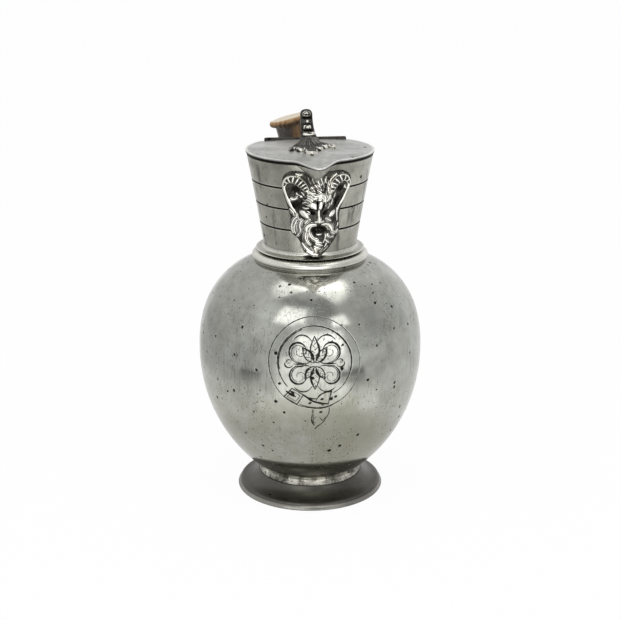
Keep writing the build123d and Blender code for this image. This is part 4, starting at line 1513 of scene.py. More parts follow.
@dataclass
class Neck(Assembly):
    """The neck with its incised rings, and the moulded collar round its foot."""

    groove_drop: float = 17.3
    groove_spacing: float = 14.15
    groove_count: int = 3
    groove_half: float = 0.7
    groove_depth: float = 0.42
    lip_depth: float = 13.0
    lip_taper: float = 0.12
    lip_wall: float = 1.3

    def build(self) -> None:
        """Turn the neck, open it to the lip, and turn the collar."""
        lines = self.lines
        first = lines.rim - self.groove_drop
        grooves = [first - i * self.groove_spacing for i in range(self.groove_count)]
        neck = turn_outline("neck_turned", self._outline(grooves), steps=256)
        least = lines.neck_base_radius
        # Painted shade: the incised rings are painted black, the top of the neck black as the
        # shadow under the lid, and a faint darker ring lies 4.6 mm below the rim.
        bands = [(height, self.groove_half * 0.95, least, 1.0) for height in grooves]
        bands += [(lines.rim, 1.3, least, 1.0), (lines.rim - 4.6, 1.4, least, 0.16)]
        self.mark(neck, "grime_and_painted_shade", bands)
        # Painted highlights: thin lighter lines along both edges of each ring.
        beside = self.groove_half + 0.16
        edges = [height + side * beside for height in grooves for side in (-1, 1)]
        self.mark(neck, "painted_highlight", [(height, 0.1, least, 0.55) for height in edges])
        self._open_to_lip(neck)
        self.settle(neck, Body.JUG, Slot.SATIN, self.finishes["neck"], ("neck",))

        top = lines.neck_base + 9.0
        at_top = lines.neck_radius(top)
        inner = (at_top - 0.6, top)
        outline = [inner, (at_top + 0.05, top), *COLLAR_PROFILE, inner]
        collar = turn_outline("neck_collar_turned", outline)
        # Painted shade: black in the groove under the flared lip and in the crease at the collar's
        # foot.
        self.mark(collar, "grime_and_painted_shade", [(169.3, 0.5, 31.5, 1.0), (163.72, 0.15, 36.0, 0.8)])
        # Painted highlights on the flared lip's edge, on the bead and on the fillet at the collar's
        # top.
        bands = [(170.4, 0.35, 35.0, 1.0), (166.2, 2.0, 35.6, 0.8), (172.0, 0.5, 30.0, 0.5)]
        self.mark(collar, "painted_highlight", bands)
        finish = self.finishes["collar"]
        self.settle(collar, Body.JUG, Slot.SATIN, finish, ("neck_collar",), sharp=60)

    def _outline(self, grooves: list[float]) -> list[Pair]:
        """Outline of the neck's wall with its rings."""
        lines = self.lines
        outside = [(lines.neck_radius(lines.neck_base + 0.4), lines.neck_base - 0.6)]
        stops = [lines.neck_base + 4.0]
        for groove in reversed(grooves):
            stops += [groove - self.groove_half, groove + self.groove_half]
        stops += [lines.rim - 0.5]
        for low, high in zip(stops[0::2], stops[1::2]):
            for share in (0.0, 0.012, 0.04, 0.25, 0.5, 0.75, 0.938, 0.96, 0.988, 1.0):
                height = low + (high - low) * share
                outside.append((lines.neck_radius(height), height))
            if high < lines.rim - 1:
                outside += self._cut(high + self.groove_half)
        rim, wall = lines.rim, lines.neck_wall
        outside += [(lines.neck_radius(rim) - 0.12, rim - 0.12), (lines.neck_top_radius - 0.5, rim)]
        levels = (rim - 0.4, 222.0, 208.0, 194.0, 180.0)
        inside = [(lines.neck_top_radius - 1.2, rim)]
        inside += [(lines.neck_radius(z) - wall, z) for z in levels]
        inside += [(lines.neck_base_radius - wall, lines.neck_base - 0.6)]
        return outside + inside + outside[:1]

    def _cut(self, height: float) -> list[Pair]:
        """The sunk points of one incised ring."""
        points = []
        for share, depth in ((-0.75, 0.35), (-0.45, 0.9), (0.0, 1.0), (0.45, 0.9), (0.75, 0.35)):
            place = height + share * self.groove_half
            points.append((self.lines.neck_radius(place) - depth * self.groove_depth, place))
        return points

    def _open_to_lip(self, neck: Piece) -> None:
        """Cut the opening from the neck into the lip's channel."""
        lines = self.lines
        nearest, widest = 9 - lines.lip_root_reach, lines.lip_root_half_width + 3
        front = lines.mouth_outline(-self.lip_wall)
        front = [(x, y) for x, y in front if y < nearest and abs(x) < widest]
        deselect_all()
        bpy.ops.mesh.primitive_circle_add(vertices=len(front), radius=MM, fill_type="NGON")
        cutter = take_new("lip_cutter")
        for vertex, (x, y) in zip(cutter.data.vertices, front):
            vertex.co = (x * MM, y * MM, (lines.rim + 1) * MM)
        drop = self.lip_depth - self.lip_wall
        with editing(cutter):
            extrude((0, 0, -(drop + 1)))
        reach = lines.neck_radius(lines.rim - drop) - self.lip_wall
        reach -= lines.lip_reach * self.lip_taper
        for vertex in cutter.data.vertices:
            if vertex.co.z < (lines.rim - 1) * MM:
                vertex.co.x *= self.lip_taper
                vertex.co.y = vertex.co.y * self.lip_taper - reach * MM
        close_up(cutter)
        cut_away(neck, cutter)


@dataclass
class Lid(Assembly):
    """The thin domed lid."""

    overhang: float = 0.5
    hinge_reach: float = 30.5
    hinge_height: float = 236.155
    barrel_radius: float = 1.7
    swing_radius: float = 2.05
    rings: int = 30

    def build(self) -> None:
        """Model the lid from its outline inwards, dome it and cut it along the hinge."""
        lines = self.lines
        outline = lines.mouth_outline(self.overhang - 0.02)
        deselect_all()
        bpy.ops.mesh.primitive_circle_add(vertices=len(outline), radius=MM, fill_type="NOTHING")
        lid = take_new("lid_plate")
        for vertex, (x, y) in zip(lid.data.vertices, outline):
            vertex.co = (x * MM, y * MM, 0)
        centre = (0, -6 * MM, 0)
        share = 1.0
        with editing(lid):
            for i in range(1, self.rings):
                wanted = 1.0 - (i / self.rings) ** 1.15
                extrude((0, 0, 0))
                scale = wanted / share
                bpy.ops.transform.resize(value=(scale, scale, 1), center_override=centre)
                share = wanted
            bpy.ops.mesh.merge(type="CENTER")
        close_up(lid)
        self._dome(lid)
        modify(lid, "SOLIDIFY", thickness=lines.lid_thickness * MM, offset=-1.0)
        self._cut_along_hinge(lid)
        from_angle = {"limit_method": "ANGLE", "angle_limit": math.radians(60)}
        modify(lid, "BEVEL", width=0.28 * MM, segments=3, **from_angle)
        self._paint_edge_light_and_shade(lid)
        self.settle(lid, Body.LID, Slot.SATIN, self.finishes["lid"], ("lid_cover",))

    def _dome(self, lid: Piece) -> None:
        """Lift the sheet to its dome, with the shallow dent behind the beak."""
        for vertex in lid.data.vertices:
            x, y = vertex.co.x / MM, vertex.co.y / MM
            height = self.lines.lid_top - self.lines.dome_drop(math.hypot(x, y))
            bow = y + 52.6 - 0.085 * x * x
            height -= 0.42 * math.exp(-((bow / 1.1) ** 2)) * math.exp(-(((x + 0.5) / 4.6) ** 4))
            vertex.co.z = height * MM
        if lid.data.polygons[0].normal.z < 0:
            lid.data.flip_normals()

    def _paint_edge_light_and_shade(self, lid: Piece) -> None:
        """Mark the painted highlight along the lid's upper edge and the painted shadow under it."""
        lines = self.lines
        places = places_of(lid)
        top = lines.lid_top - np.array([lines.dome_drop(math.hypot(x, y)) for x, y, _ in places])
        below = top - places[:, 2]
        rim = np.array(lines.mouth_outline(self.overhang))
        away = np.array([np.hypot(*(rim - place[:2]).T).min() for place in places])
        # Painted shadow on the lid's edge below its top, and a painted highlight along its upper
        # edge.
        set_values(lid, "grime_and_painted_shade", ((below > 0.5) & (away < 1.4)).astype(float))
        set_values(lid, "painted_highlight", 1.0 * ((below < 0.45) & (away < 0.95)))

    def _cut_along_hinge(self, lid: Piece) -> None:
        """Take away the back of the lid and the places where the fixed knuckles sit."""
        swing = self.swing_radius
        spans = [(-60.0, 60.0, self.barrel_radius + 0.05)]
        spans += [(-60.0, -15.25, swing), (-5.95, 5.95, swing), (15.25, 60.0, swing)]
        for start, end, radius in spans:
            deselect_all()
            middle = ((start + end) / 2 * MM, self.hinge_reach * MM, self.hinge_height * MM)
            bpy.ops.mesh.primitive_cylinder_add(
                vertices=48,
                radius=radius * MM,
                depth=(end - start) * MM,
                location=middle,
                rotation=(0, math.pi / 2, 0),
            )
            cut_away(lid, take_new("hinge_cutter"))
        line = (0, self.hinge_reach * MM, 0)
        with editing(lid):
            bpy.ops.mesh.bisect(plane_co=line, plane_no=(0, 1, 0), clear_outer=True, use_fill=True)


@dataclass
class Thumbpiece(Assembly):
    """The cast thumbpiece: a beaded shaft that runs out into a palmette on the lid."""

    base: float = 21.0
    lean: float = 0.22
    half_depth: float = 2.4
    cell: float = 0.2

    def build(self) -> None:
        """Carve the shaft and the palmette, and join them."""
        thumb = join_into("thumbpiece_cast", [self._palmette(), self._shaft()])
        finish = self.finishes["thumbpiece"]
        self.settle(thumb, Body.LID, Slot.BLACKENED, finish, ("thumbpiece",), sharp=80)

    def _top(self, x: np.ndarray, y: np.ndarray) -> np.ndarray:
        """Heights of the lid's top at several places."""
        dome = self.lines.dome_radius
        return self.lines.lid_top - dome + np.sqrt(dome**2 - (x**2 + y**2))

    def _shaft(self) -> Piece:
        """The upright shaft with its cap, beads, flower and oval collar."""
        sheet = ReliefSheet("thumb_shaft", SHAFT_PLATE, self.cell)
        sheet.shine += 0.26
        sheet.lump((0.2, 17.6), (3.3, 2.0), 0.7, 0.5)
        cap = ((-2.6, 16.6, 0.3), (-2.2, 18.4, 0.4), (0.2, 19.3, 0.45))
        cap += ((2.6, 18.4, 0.4), (3.0, 16.6, 0.3))
        sheet.stroke(*cap, bright=0.5)
        sheet.stroke((-1.4, 17.7, 0.3), (-0.4, 18.2, 0.45), (1.0, 18.1, 0.3), bright=0.9, crest=0.6)
        cap_hollows = (((-0.5, 17.1), (0.7, 0.5), -0.7), ((1.6, 17.2), (0.5, 0.4), -0.5))
        flower = (((0.3, 15.0), (4.6, 0.6), -0.9), ((0.5, 12.7), (1.1, 1.0), 1.3, 1.0))
        sheet.lumps(cap_hollows + flower)
        for side in (-1, 1):
            for petal, bright in (
                (((2.6, 14.2, 0.25), (1.5, 12.6, 0.4), (2.6, 11.0, 0.25)), 0.35),
                (((0.4, 10.6, 0.3), (1.9, 9.8, 0.5), (2.2, 8.2, 0.35)), 0.7),
                (((1.0, 8.2, 0.3), (1.5, 7.4, 0.45), (2.8, 7.2, 0.25)), 0.4),
            ):
                sheet.stroke(*((0.4 + side * u, v, half) for u, v, half in petal), bright=bright)
        beads = (((0.7, 9.0), (1.3, 1.0), 1.0, 0.85), ((0.8, 10.9), (2.4, 0.35), -0.7))
        sheet.lumps((*beads, ((0.8, 7.0), (3.4, 0.5), -0.8)))
        sheet.stroke((-3.7, 5.0, 0.3), (-3.7, 10.0, 0.35), (-3.8, 16.6, 0.3), bright=0.42)
        sheet.stroke((4.8, 7.0, 0.3), (4.2, 11.0, 0.35), (3.9, 16.6, 0.3), bright=0.32)
        sheet.mound(((-1.7, 4.5, 1.25), (1.2, 4.5, 1.5), (4.4, 4.9, 1.35)), 1.7, 0.96)
        collar = (((1.8, 5.3), (1.5, 0.35), -0.5), ((1.2, 2.5), (3.6, 0.55), -0.9))
        sheet.lumps((*collar, ((1.8, 1.0), (0.8, 0.8), 1.0, 0.95)))
        for x, lean in ((-2.6, -0.9), (-0.6, -0.4), (3.8, 0.8), (5.4, 1.4)):
            root = ((x, 2.0, 0.35), (x + lean * 0.5, 0.6, 0.5), (x + lean, -0.8, 0.4))
            sheet.stroke(*root, bright=0.32)
        outward = 1 - (sheet.inward / self.half_depth).clip(0, 1)
        sheet.ground += self.half_depth * np.sqrt(1 - outward**2)
        return sheet.finish(self._shaft_front, self._shaft_back)

    def _shaft_front(self, u: np.ndarray, v: np.ndarray, raised: np.ndarray) -> Arrays:
        """Places of the shaft's front."""
        return u, self.base + self.lean * v - raised, v + self.lines.lid_top

    def _shaft_back(self, u: np.ndarray, v: np.ndarray) -> Arrays:
        """Places of the shaft's back, rounded at its edges."""
        levels = (-1.0, 4.0, 12.0, 21.0)
        half = np.interp(v, levels, (6.0, 4.7, 4.2, 4.0))
        middle = np.interp(v, levels, (2.0, 1.2, 0.2, 0.1))
        across = ((u - middle) / half).clip(-1, 1)
        up = ((v + 1) / 22).clip(0, 1)
        rounded = self.half_depth * 0.9 * np.sqrt(1 - across**4) * np.sqrt(1 - up**8)
        return u, self.base + self.lean * v + rounded, v + self.lines.lid_top

    def _palmette(self) -> Piece:
        """The leaf that spreads from the shaft's foot over the lid, with seven lobes."""
        sheet = ReliefSheet("thumb_palmette", PALMETTE_PLATE, self.cell)
        sheet.shine += 0.3
        away = np.hypot((sheet.u - 1.2) * 1.25, sheet.v - 19.5)
        near, far = np.exp(-((away / 8.5) ** 2)), np.exp(-((away / 20.0) ** 2))
        sheet.ground += 0.75 + 2.6 * near + 0.5 * far
        lobes = (
            ((-1.1, -25.6), 4.1, 11.0, 1.0),
            ((-7.4, -15.6), 2.4, 7.0, 1.0),
            ((5.9, -13.2), 2.4, 6.6, 1.0),
            ((-10.6, -12.2), 1.9, 5.8, 0.75),
            ((10.2, -6.8), 2.1, 5.8, 0.95),
            ((-14.4, -11.8), 2.2, 6.8, 0.45),
            ((15.7, -5.9), 2.2, 7.0, 1.0),
        )
        for tip, wide, long, bright in lobes:
            self._lobe(sheet, tip, wide, long, bright)
        sheet.detail *= (sheet.inward / 0.7).clip(0.35, 1)
        return sheet.finish(self._leaf_front, self._leaf_back)

    def _lobe(self, sheet: ReliefSheet, tip: Pair, wide: float, long: float, bright: float) -> None:
        """One lobe: a bright rim round a hollow, and the ribs that lead from it to the shaft."""
        root = Vector((1.0 + (tip[0] - 1.0) * 0.14, 18.5))
        end = Vector(tip)
        along = (end - root).normalized()
        across = Vector((along.y, -along.x))
        rim = []
        for i in range(11):
            angle = math.radians(-112 + 224 * i / 10)
            point = end - along * (long * 0.5 - math.cos(angle) * long * 0.43)
            point += across * math.sin(angle) * (wide - 0.5)
            rim.append((point.x, point.y, 0.56 + 0.13 * wide * max(0.0, math.cos(angle)) ** 2))
        lean = math.degrees(math.atan2(-across.x, across.y)) + 90
        sheet.lump(tuple(end - along * long * 0.5), (wide * 0.7, long * 0.3), -0.25, turn=lean)
        sheet.stroke(*rim, bright=bright, crest=1.2)
        if wide < 3:
            knob = tuple(end - along * long * 0.18)
            sheet.lump(knob, (wide * 0.45, long * 0.12), 0.35, bright, lean)
        for offset, strength in ((0.0, 0.5), (-0.75, 0.38), (0.75, 0.38)):
            points = []
            for share, half in ((0.08, 0.3), (0.28, 0.42), (0.46, 0.42), (0.62, 0.28)):
                point = root.lerp(end, share) + across * offset * wide * (0.15 + 0.7 * share)
                points.append((point.x, point.y, half))
            sheet.stroke(*points, bright=strength * (0.5 + 0.5 * bright), crest=0.8)

    def _leaf_front(self, u: np.ndarray, v: np.ndarray, raised: np.ndarray) -> Arrays:
        """Places of the palmette's upper side."""
        return u, v, self._top(u, v) + raised.clip(0.15)

    def _leaf_back(self, u: np.ndarray, v: np.ndarray) -> Arrays:
        """Places of the palmette's underside, sunk a little into the lid."""
        return u, v, self._top(u, v) - 0.15


@dataclass
class SatyrMask(Assembly):
    """The cast mask on the front of the neck: horns, hair, face and beard."""

    cell: float = 0.21
    backing: float = 0.9
    sunk: float = 0.7
    shift: float = 0.7
    least_shine: float = 0.21
    horn_height: float = 4.6

    def build(self) -> None:
        """Carve the mask as a relief and bend it round the neck."""
        sheet = ReliefSheet("mask_cast", MASK_PLATE, self.cell)
        skull = 1 - ((sheet.u - 0.5) / 13.0) ** 2 - ((sheet.v - 198.0) / 21.5) ** 2
        sheet.ground += 5.2 * np.sqrt(skull.clip(0.0))
        sheet.lumps(FACE_LUMPS)
        for horn in (LEFT_HORN, RIGHT_HORN):
            self._horn(sheet, horn)
        sheet.shine = np.maximum(sheet.shine, self.least_shine)
        for rows, bright in HAIR_STROKES + BEARD_STROKES:
            self._beside(sheet, rows, bright)
        sheet.strokes(HAIR_STROKES + BEARD_STROKES)
        sheet.lumps(FACE_HOLLOWS + MOUTH_LUMPS)
        sheet.strokes(EYE_FOLDS)
        mask = sheet.finish(self._front, self._back)
        self.settle(mask, Body.JUG, Slot.BLACKENED, self.finishes["mask"], ("mask",), sharp=80)

    def _beside(self, sheet: ReliefSheet, rows: tuple[Triple, ...], bright: float) -> None:
        """Lay a finer, duller lock on each side of a lock."""
        points = np.array(rows)
        _, normal = sides_of(points)
        for side in (-1, 1):
            moved = points[:, :2] + side * normal * (points[:, 2:] * 1.1 + 0.42)
            beside = [(u, v, 0.24 + 0.1 * (i % 2)) for i, (u, v) in enumerate(moved)]
            sheet.stroke(*beside, bright=0.56 * bright, crest=0.75)

    def _horn(self, sheet: ReliefSheet, rows: tuple[Triple, ...]) -> None:
        """One horn: a rounded body, a bright edge on both sides, and ribs across its thick part."""
        sheet.mound(rows, self.horn_height, 0.1)
        path = np.array(smooth_rows([(u, v, 0.0, half) for u, v, half in rows], 140))
        step, normal = sides_of(path)
        thick = int(np.argmax(np.hypot(*(path[:, :2] - rows[4][:2]).T) < 0.6))
        for side in (-1, 1):
            edge = path[:, :2] + side * normal * (path[:, 3:] - 0.45).clip(0.1)
            points = [(*edge[i], 0.5) for i in range(2, 139, 8)]
            sheet.stroke(*points, bright=0.9, crest=0.5)
        ribs = max(6, round(thick * 0.125))
        for number in range(ribs + 1):
            i = int(thick * number / ribs)
            half = path[i, 3] - 0.5
            rib = []
            for share in (-1.0, -0.4, 0.3, 1.0):
                point = path[i, :2] + normal[i] * share * half + step[i] * 0.5 * (1 - share**2)
                rib.append((*point, 0.46 - 0.1 * abs(share)))
            sheet.stroke(*rib, bright=0.95, crest=0.7)
        lower = [(u, v, half * 0.8) for u, v, half in rows[5:]]
        sheet.stroke(*lower, bright=0.95, crest=0.5)

    def _front(self, u: np.ndarray, v: np.ndarray, raised: np.ndarray) -> Arrays:
        """Places of the mask's front, whose beard stands away from the neck."""
        height = self._height(v)
        radius = self._neck(height) + self.backing
        jut = 5.2 * ((188.0 - v) / 15.0).clip(0.0, 1.0) ** 1.4
        return u + self.shift, -(np.sqrt(radius**2 - (u + self.shift) ** 2) + raised + jut), height

    def _back(self, u: np.ndarray, v: np.ndarray) -> Arrays:
        """Places of the mask's back, inside the neck's wall."""
        height = self._height(v)
        radius = self._neck(height) - self.sunk
        return u + self.shift, -np.sqrt(radius**2 - (u + self.shift) ** 2), height

    def _height(self, v: np.ndarray) -> np.ndarray:
        """Heights on the jug for heights in the carving."""
        carved = (173.0, 180.0, 190.0, 198.0, 215.0, 231.0)
        return np.interp(v, carved, (171.6, 178.9, 189.3, 197.8, 214.5, 229.9))

    def _neck(self, heights: np.ndarray) -> np.ndarray:
        """The neck's radius at each of several heights."""
        known = np.linspace(self.lines.neck_base, self.lines.rim, 40)
        return np.interp(heights, known, [self.lines.neck_radius(z) for z in known])


@dataclass
class BeltEngraving:
    """The belt and scrollwork cut into the front of the bowl."""

    lift: float = 0.5
    weight: float = 1.5
    spacing: float = 0.22
    sprig_middle: Pair = (-4.6, 112.4)

    def cut(self, points: list[Triple]) -> np.ndarray:
        """A cut line through points given across, up and half width."""
        known = np.array(points)
        length = np.hypot(*np.diff(known[:, :2], axis=0).T).sum()
        count = max(8, int(length / self.spacing))
        lifted = [(x, z + self.lift, 0.0, half) for x, z, half in points]
        rows = np.array(smooth_rows(lifted, count))
        run = np.arange(count)
        wobble = 1 + 0.18 * np.sin(run * 0.31 + known[0, 0]) * np.sin(run * 0.083)
        rows[:, 3] = (rows[:, 3] * wobble * self.weight).clip(0.13)
        return rows[:, [0, 1, 3]]

    def ring(
        self,
        centre: Pair,
        radii: Pair,
        start: float,
        end: float,
        thick: float,
        thin: float,
        heavy: float,
    ) -> np.ndarray:
        """A round cut line that is heavier on one side.

        Args:
            centre: Its centre, across and up.
            radii: Its half sizes.
            start: Angle in degrees where it starts.
            end: Angle where it ends.
            thick: Half width on the heavy side.
            thin: Half width elsewhere.
            heavy: Angle of the heavy side.

        Returns:
            The line's places and half widths.
        """
        points = []
        for i in range(73):
            angle = math.radians(start + (end - start) * i / 72)
            weight = max(0.0, math.cos(angle - math.radians(heavy))) ** 2
            wobble = 0.12 * math.sin(5 * angle)
            half = thin + (thick - thin) * weight
            x = centre[0] + (radii[0] + wobble) * math.cos(angle)
            points.append((x, centre[1] + (radii[1] + wobble) * math.sin(angle), half))
        return self.cut(points)

    def strokes(self) -> list[np.ndarray]:
        """Every line of the belt, the buckle, the tail and the scrolls."""
        rings = [
            self.ring((-4.45, 111.8), (28.9, 29.2), -128, 228, 0.24, 0.15, 150),
            self.ring((-4.5, 112.9), (23.5, 22.9), -40, 222, 0.36, 0.22, 30),
            self.ring((-4.4, 112.8), (22.9, 22.3), 110, 190, 0.30, 0.12, 150),
        ]
        return rings + [self.cut(points) for points in self._belt() + self._scrolls()]

    def _belt(self) -> list[list[Triple]]:
        """The buckle, the belt's end that passes through it, and its hanging tail."""
        lines = []
        for corners, half in (
            (((-19.2, 96.3), (-12.0, 92.1), (-15.9, 85.3), (-24.1, 90.2)), 0.22),
            (((-18.7, 94.3), (-14.0, 91.4), (-16.6, 87.3), (-22.1, 90.4)), 0.14),
        ):
            for i in range(4):
                (ax, az), (bx, bz) = corners[i], corners[(i + 1) % 4]
                middle = ((ax + bx) / 2 + 0.1, (az + bz) / 2, half)
                lines.append([(ax, az, half), middle, (bx, bz, half)])
        lines += [
            [(-22.4, 94.0, 0.35), (-19.8, 92.2, 0.55), (-16.8, 90.6, 0.3)],
            [(-20.6, 94.8, 0.2), (-18.6, 93.3, 0.45), (-17.6, 91.2, 0.2)],
            [(-12.0, 92.1, 0.3), (-8.6, 89.9, 0.42), (-5.4, 89.3, 0.3), (-3.6, 89.4, 0.18)],
            [(-11.4, 91.6, 0.2), (-7.4, 88.5, 0.42), (-2.5, 86.5, 0.46), (3.9, 85.4, 0.3)],
            [(-3.8, 88.2, 0.2), (-2.2, 91.0, 0.28), (1.2, 93.4, 0.34), (5.9, 94.1, 0.3)],
            [(5.9, 94.1, 0.3), (4.9, 90.2, 0.22), (4.1, 85.7, 0.2)],
            [
                (-14.2, 85.2, 0.16),
                (-8.8, 83.5, 0.3),
                (-3.5, 82.7, 0.4),
                (3.9, 83.6, 0.34),
                (10.6, 86.9, 0.2),
            ],
            [(7.4, 93.2, 0.2), (12.0, 96.4, 0.16), (14.6, 99.6, 0.14)],
            [(-6.2, 81.8, 0.14), (-6.2, 77.6, 0.2), (-6.6, 73.4, 0.22)],
            [(-5.4, 81.6, 0.1), (-5.3, 78.0, 0.12), (-5.5, 74.8, 0.1)],
            [(-6.6, 73.4, 0.24), (-5.6, 71.4, 0.34), (-4.6, 69.8, 0.24)],
            [(4.6, 82.6, 0.16), (4.4, 78.6, 0.2), (2.6, 75.0, 0.2)],
            [(2.9, 75.6, 0.2), (0.6, 71.6, 0.2), (-3.0, 68.4, 0.26), (-4.0, 66.9, 0.2)],
            [(-3.6, 76.2, 0.14), (-5.6, 73.6, 0.2), (-4.0, 71.2, 0.16)],
            [(-1.4, 75.8, 0.14), (0.8, 73.4, 0.2), (2.2, 75.8, 0.14)],
        ]
        for x, z in ((-7.8, 86.3), (-0.2, 88.9), (8.6, 90.3), (-0.8, 79.6), (-26.9, 99.0)):
            lines.append([(x - 0.5, z - 0.2, 0.35), (x, z, 0.55), (x + 0.6, z + 0.3, 0.35)])
        return lines

    def _scrolls(self) -> list[list[Triple]]:
        """A sprig of leaves between curling stems, inside the belt."""
        middle_x, middle_z = self.sprig_middle
        lines = []
        for side in (-1, 1):
            for centre, start, turns, radius, heavy, thin in (
                ((9.6, 8.2), 250.0, 1.35, 7.8, 0.36, 0.12),
                ((9.5, 8.0), 262.0, 0.9, 6.9, 0.10, 0.10),
                ((9.8, -8.0), 110.0, -1.3, 7.4, 0.36, 0.12),
                ((9.7, -7.8), 98.0, -0.85, 6.5, 0.10, 0.10),
                ((17.0, 0.4), 200.0, 0.85, 3.2, 0.22, 0.1),
                ((16.6, 1.0), 150.0, -0.7, 2.2, 0.12, 0.1),
            ):
                points = []
                for i in range(15):
                    share = i / 14
                    angle = math.radians(start + 360 * turns * share)
                    reach = radius * (1 - 0.78 * share)
                    half = thin + heavy * math.sin(math.pi * min(1.0, share * 1.6)) ** 2
                    x = centre[0] + reach * math.cos(angle)
                    z = centre[1] + reach * math.sin(angle)
                    points.append((middle_x + side * x, middle_z + z, half))
                lines.append(points)
            stems = (
                ((1.2, 13.6), (4.6, 17.4), (9.4, 17.9), (13.2, 15.2)),
                ((1.4, -13.8), (5.0, -17.6), (9.6, -17.8), (13.0, -15.4)),
                ((2.0, 2.4), (5.0, 0.8), (9.6, 0.2), (13.6, 0.2)),
                ((2.6, -1.4), (5.6, -0.6), (9.0, -1.2), (12.4, -1.0)),
            )
            for stem in stems:
                halves = [0.12 + 0.1 * (i % 3) for i in range(len(stem))]
                points = [(middle_x + side * x, middle_z + z) for x, z in stem]
                lines.append([(*point, half) for point, half in zip(points, halves)])
        for reach, half, lean in (
            (17.6, 3.0, 0.0),
            (13.4, 2.6, 36.0),
            (13.4, 2.6, -36.0),
            (11.6, 2.2, 146.0),
            (11.6, 2.2, -146.0),
            (16.6, 2.8, 180.0),
        ):
            lines += self._leaf(reach, half, math.radians(lean))
        return lines

    def _leaf(self, reach: float, half: float, turn: float) -> list[list[Triple]]:
        """One leaf of the sprig: its two edges, and its veins.

        Args:
            reach: How far its tip lies from the sprig's middle.
            half: Its half width.
            turn: Its turn from upright in radians.

        Returns:
            The lines.
        """
        middle_x, middle_z = self.sprig_middle
        lines = []
        for edge, heavy in ((-1, 0.12), (1, 0.34)):
            points = []
            for i in range(7):
                share = i / 6
                swell = math.sin(math.pi * share)
                out = edge * half * swell * (1.15 - 0.4 * share)
                along = 1.2 + (reach - 1.2) * share
                x = out * math.cos(turn) + along * math.sin(turn)
                z = -out * math.sin(turn) + along * math.cos(turn)
                points.append((middle_x + x, middle_z + z, 0.14 + heavy * swell))
            lines.append(points)
        way = Vector((math.sin(turn), math.cos(turn)))
        across = Vector((math.cos(turn), -math.sin(turn)))
        for i in range(7):
            base = way * (reach * (0.22 + 0.1 * i))
            side = across * half * (1 if i % 2 else -1) * (0.85 - 0.09 * i)
            tip = base + side + way * 1.5
            vein = (base, (base + tip) / 2, tip)
            lines.append([(middle_x + p.x, middle_z + p.y, 0.13) for p in vein])
        return lines


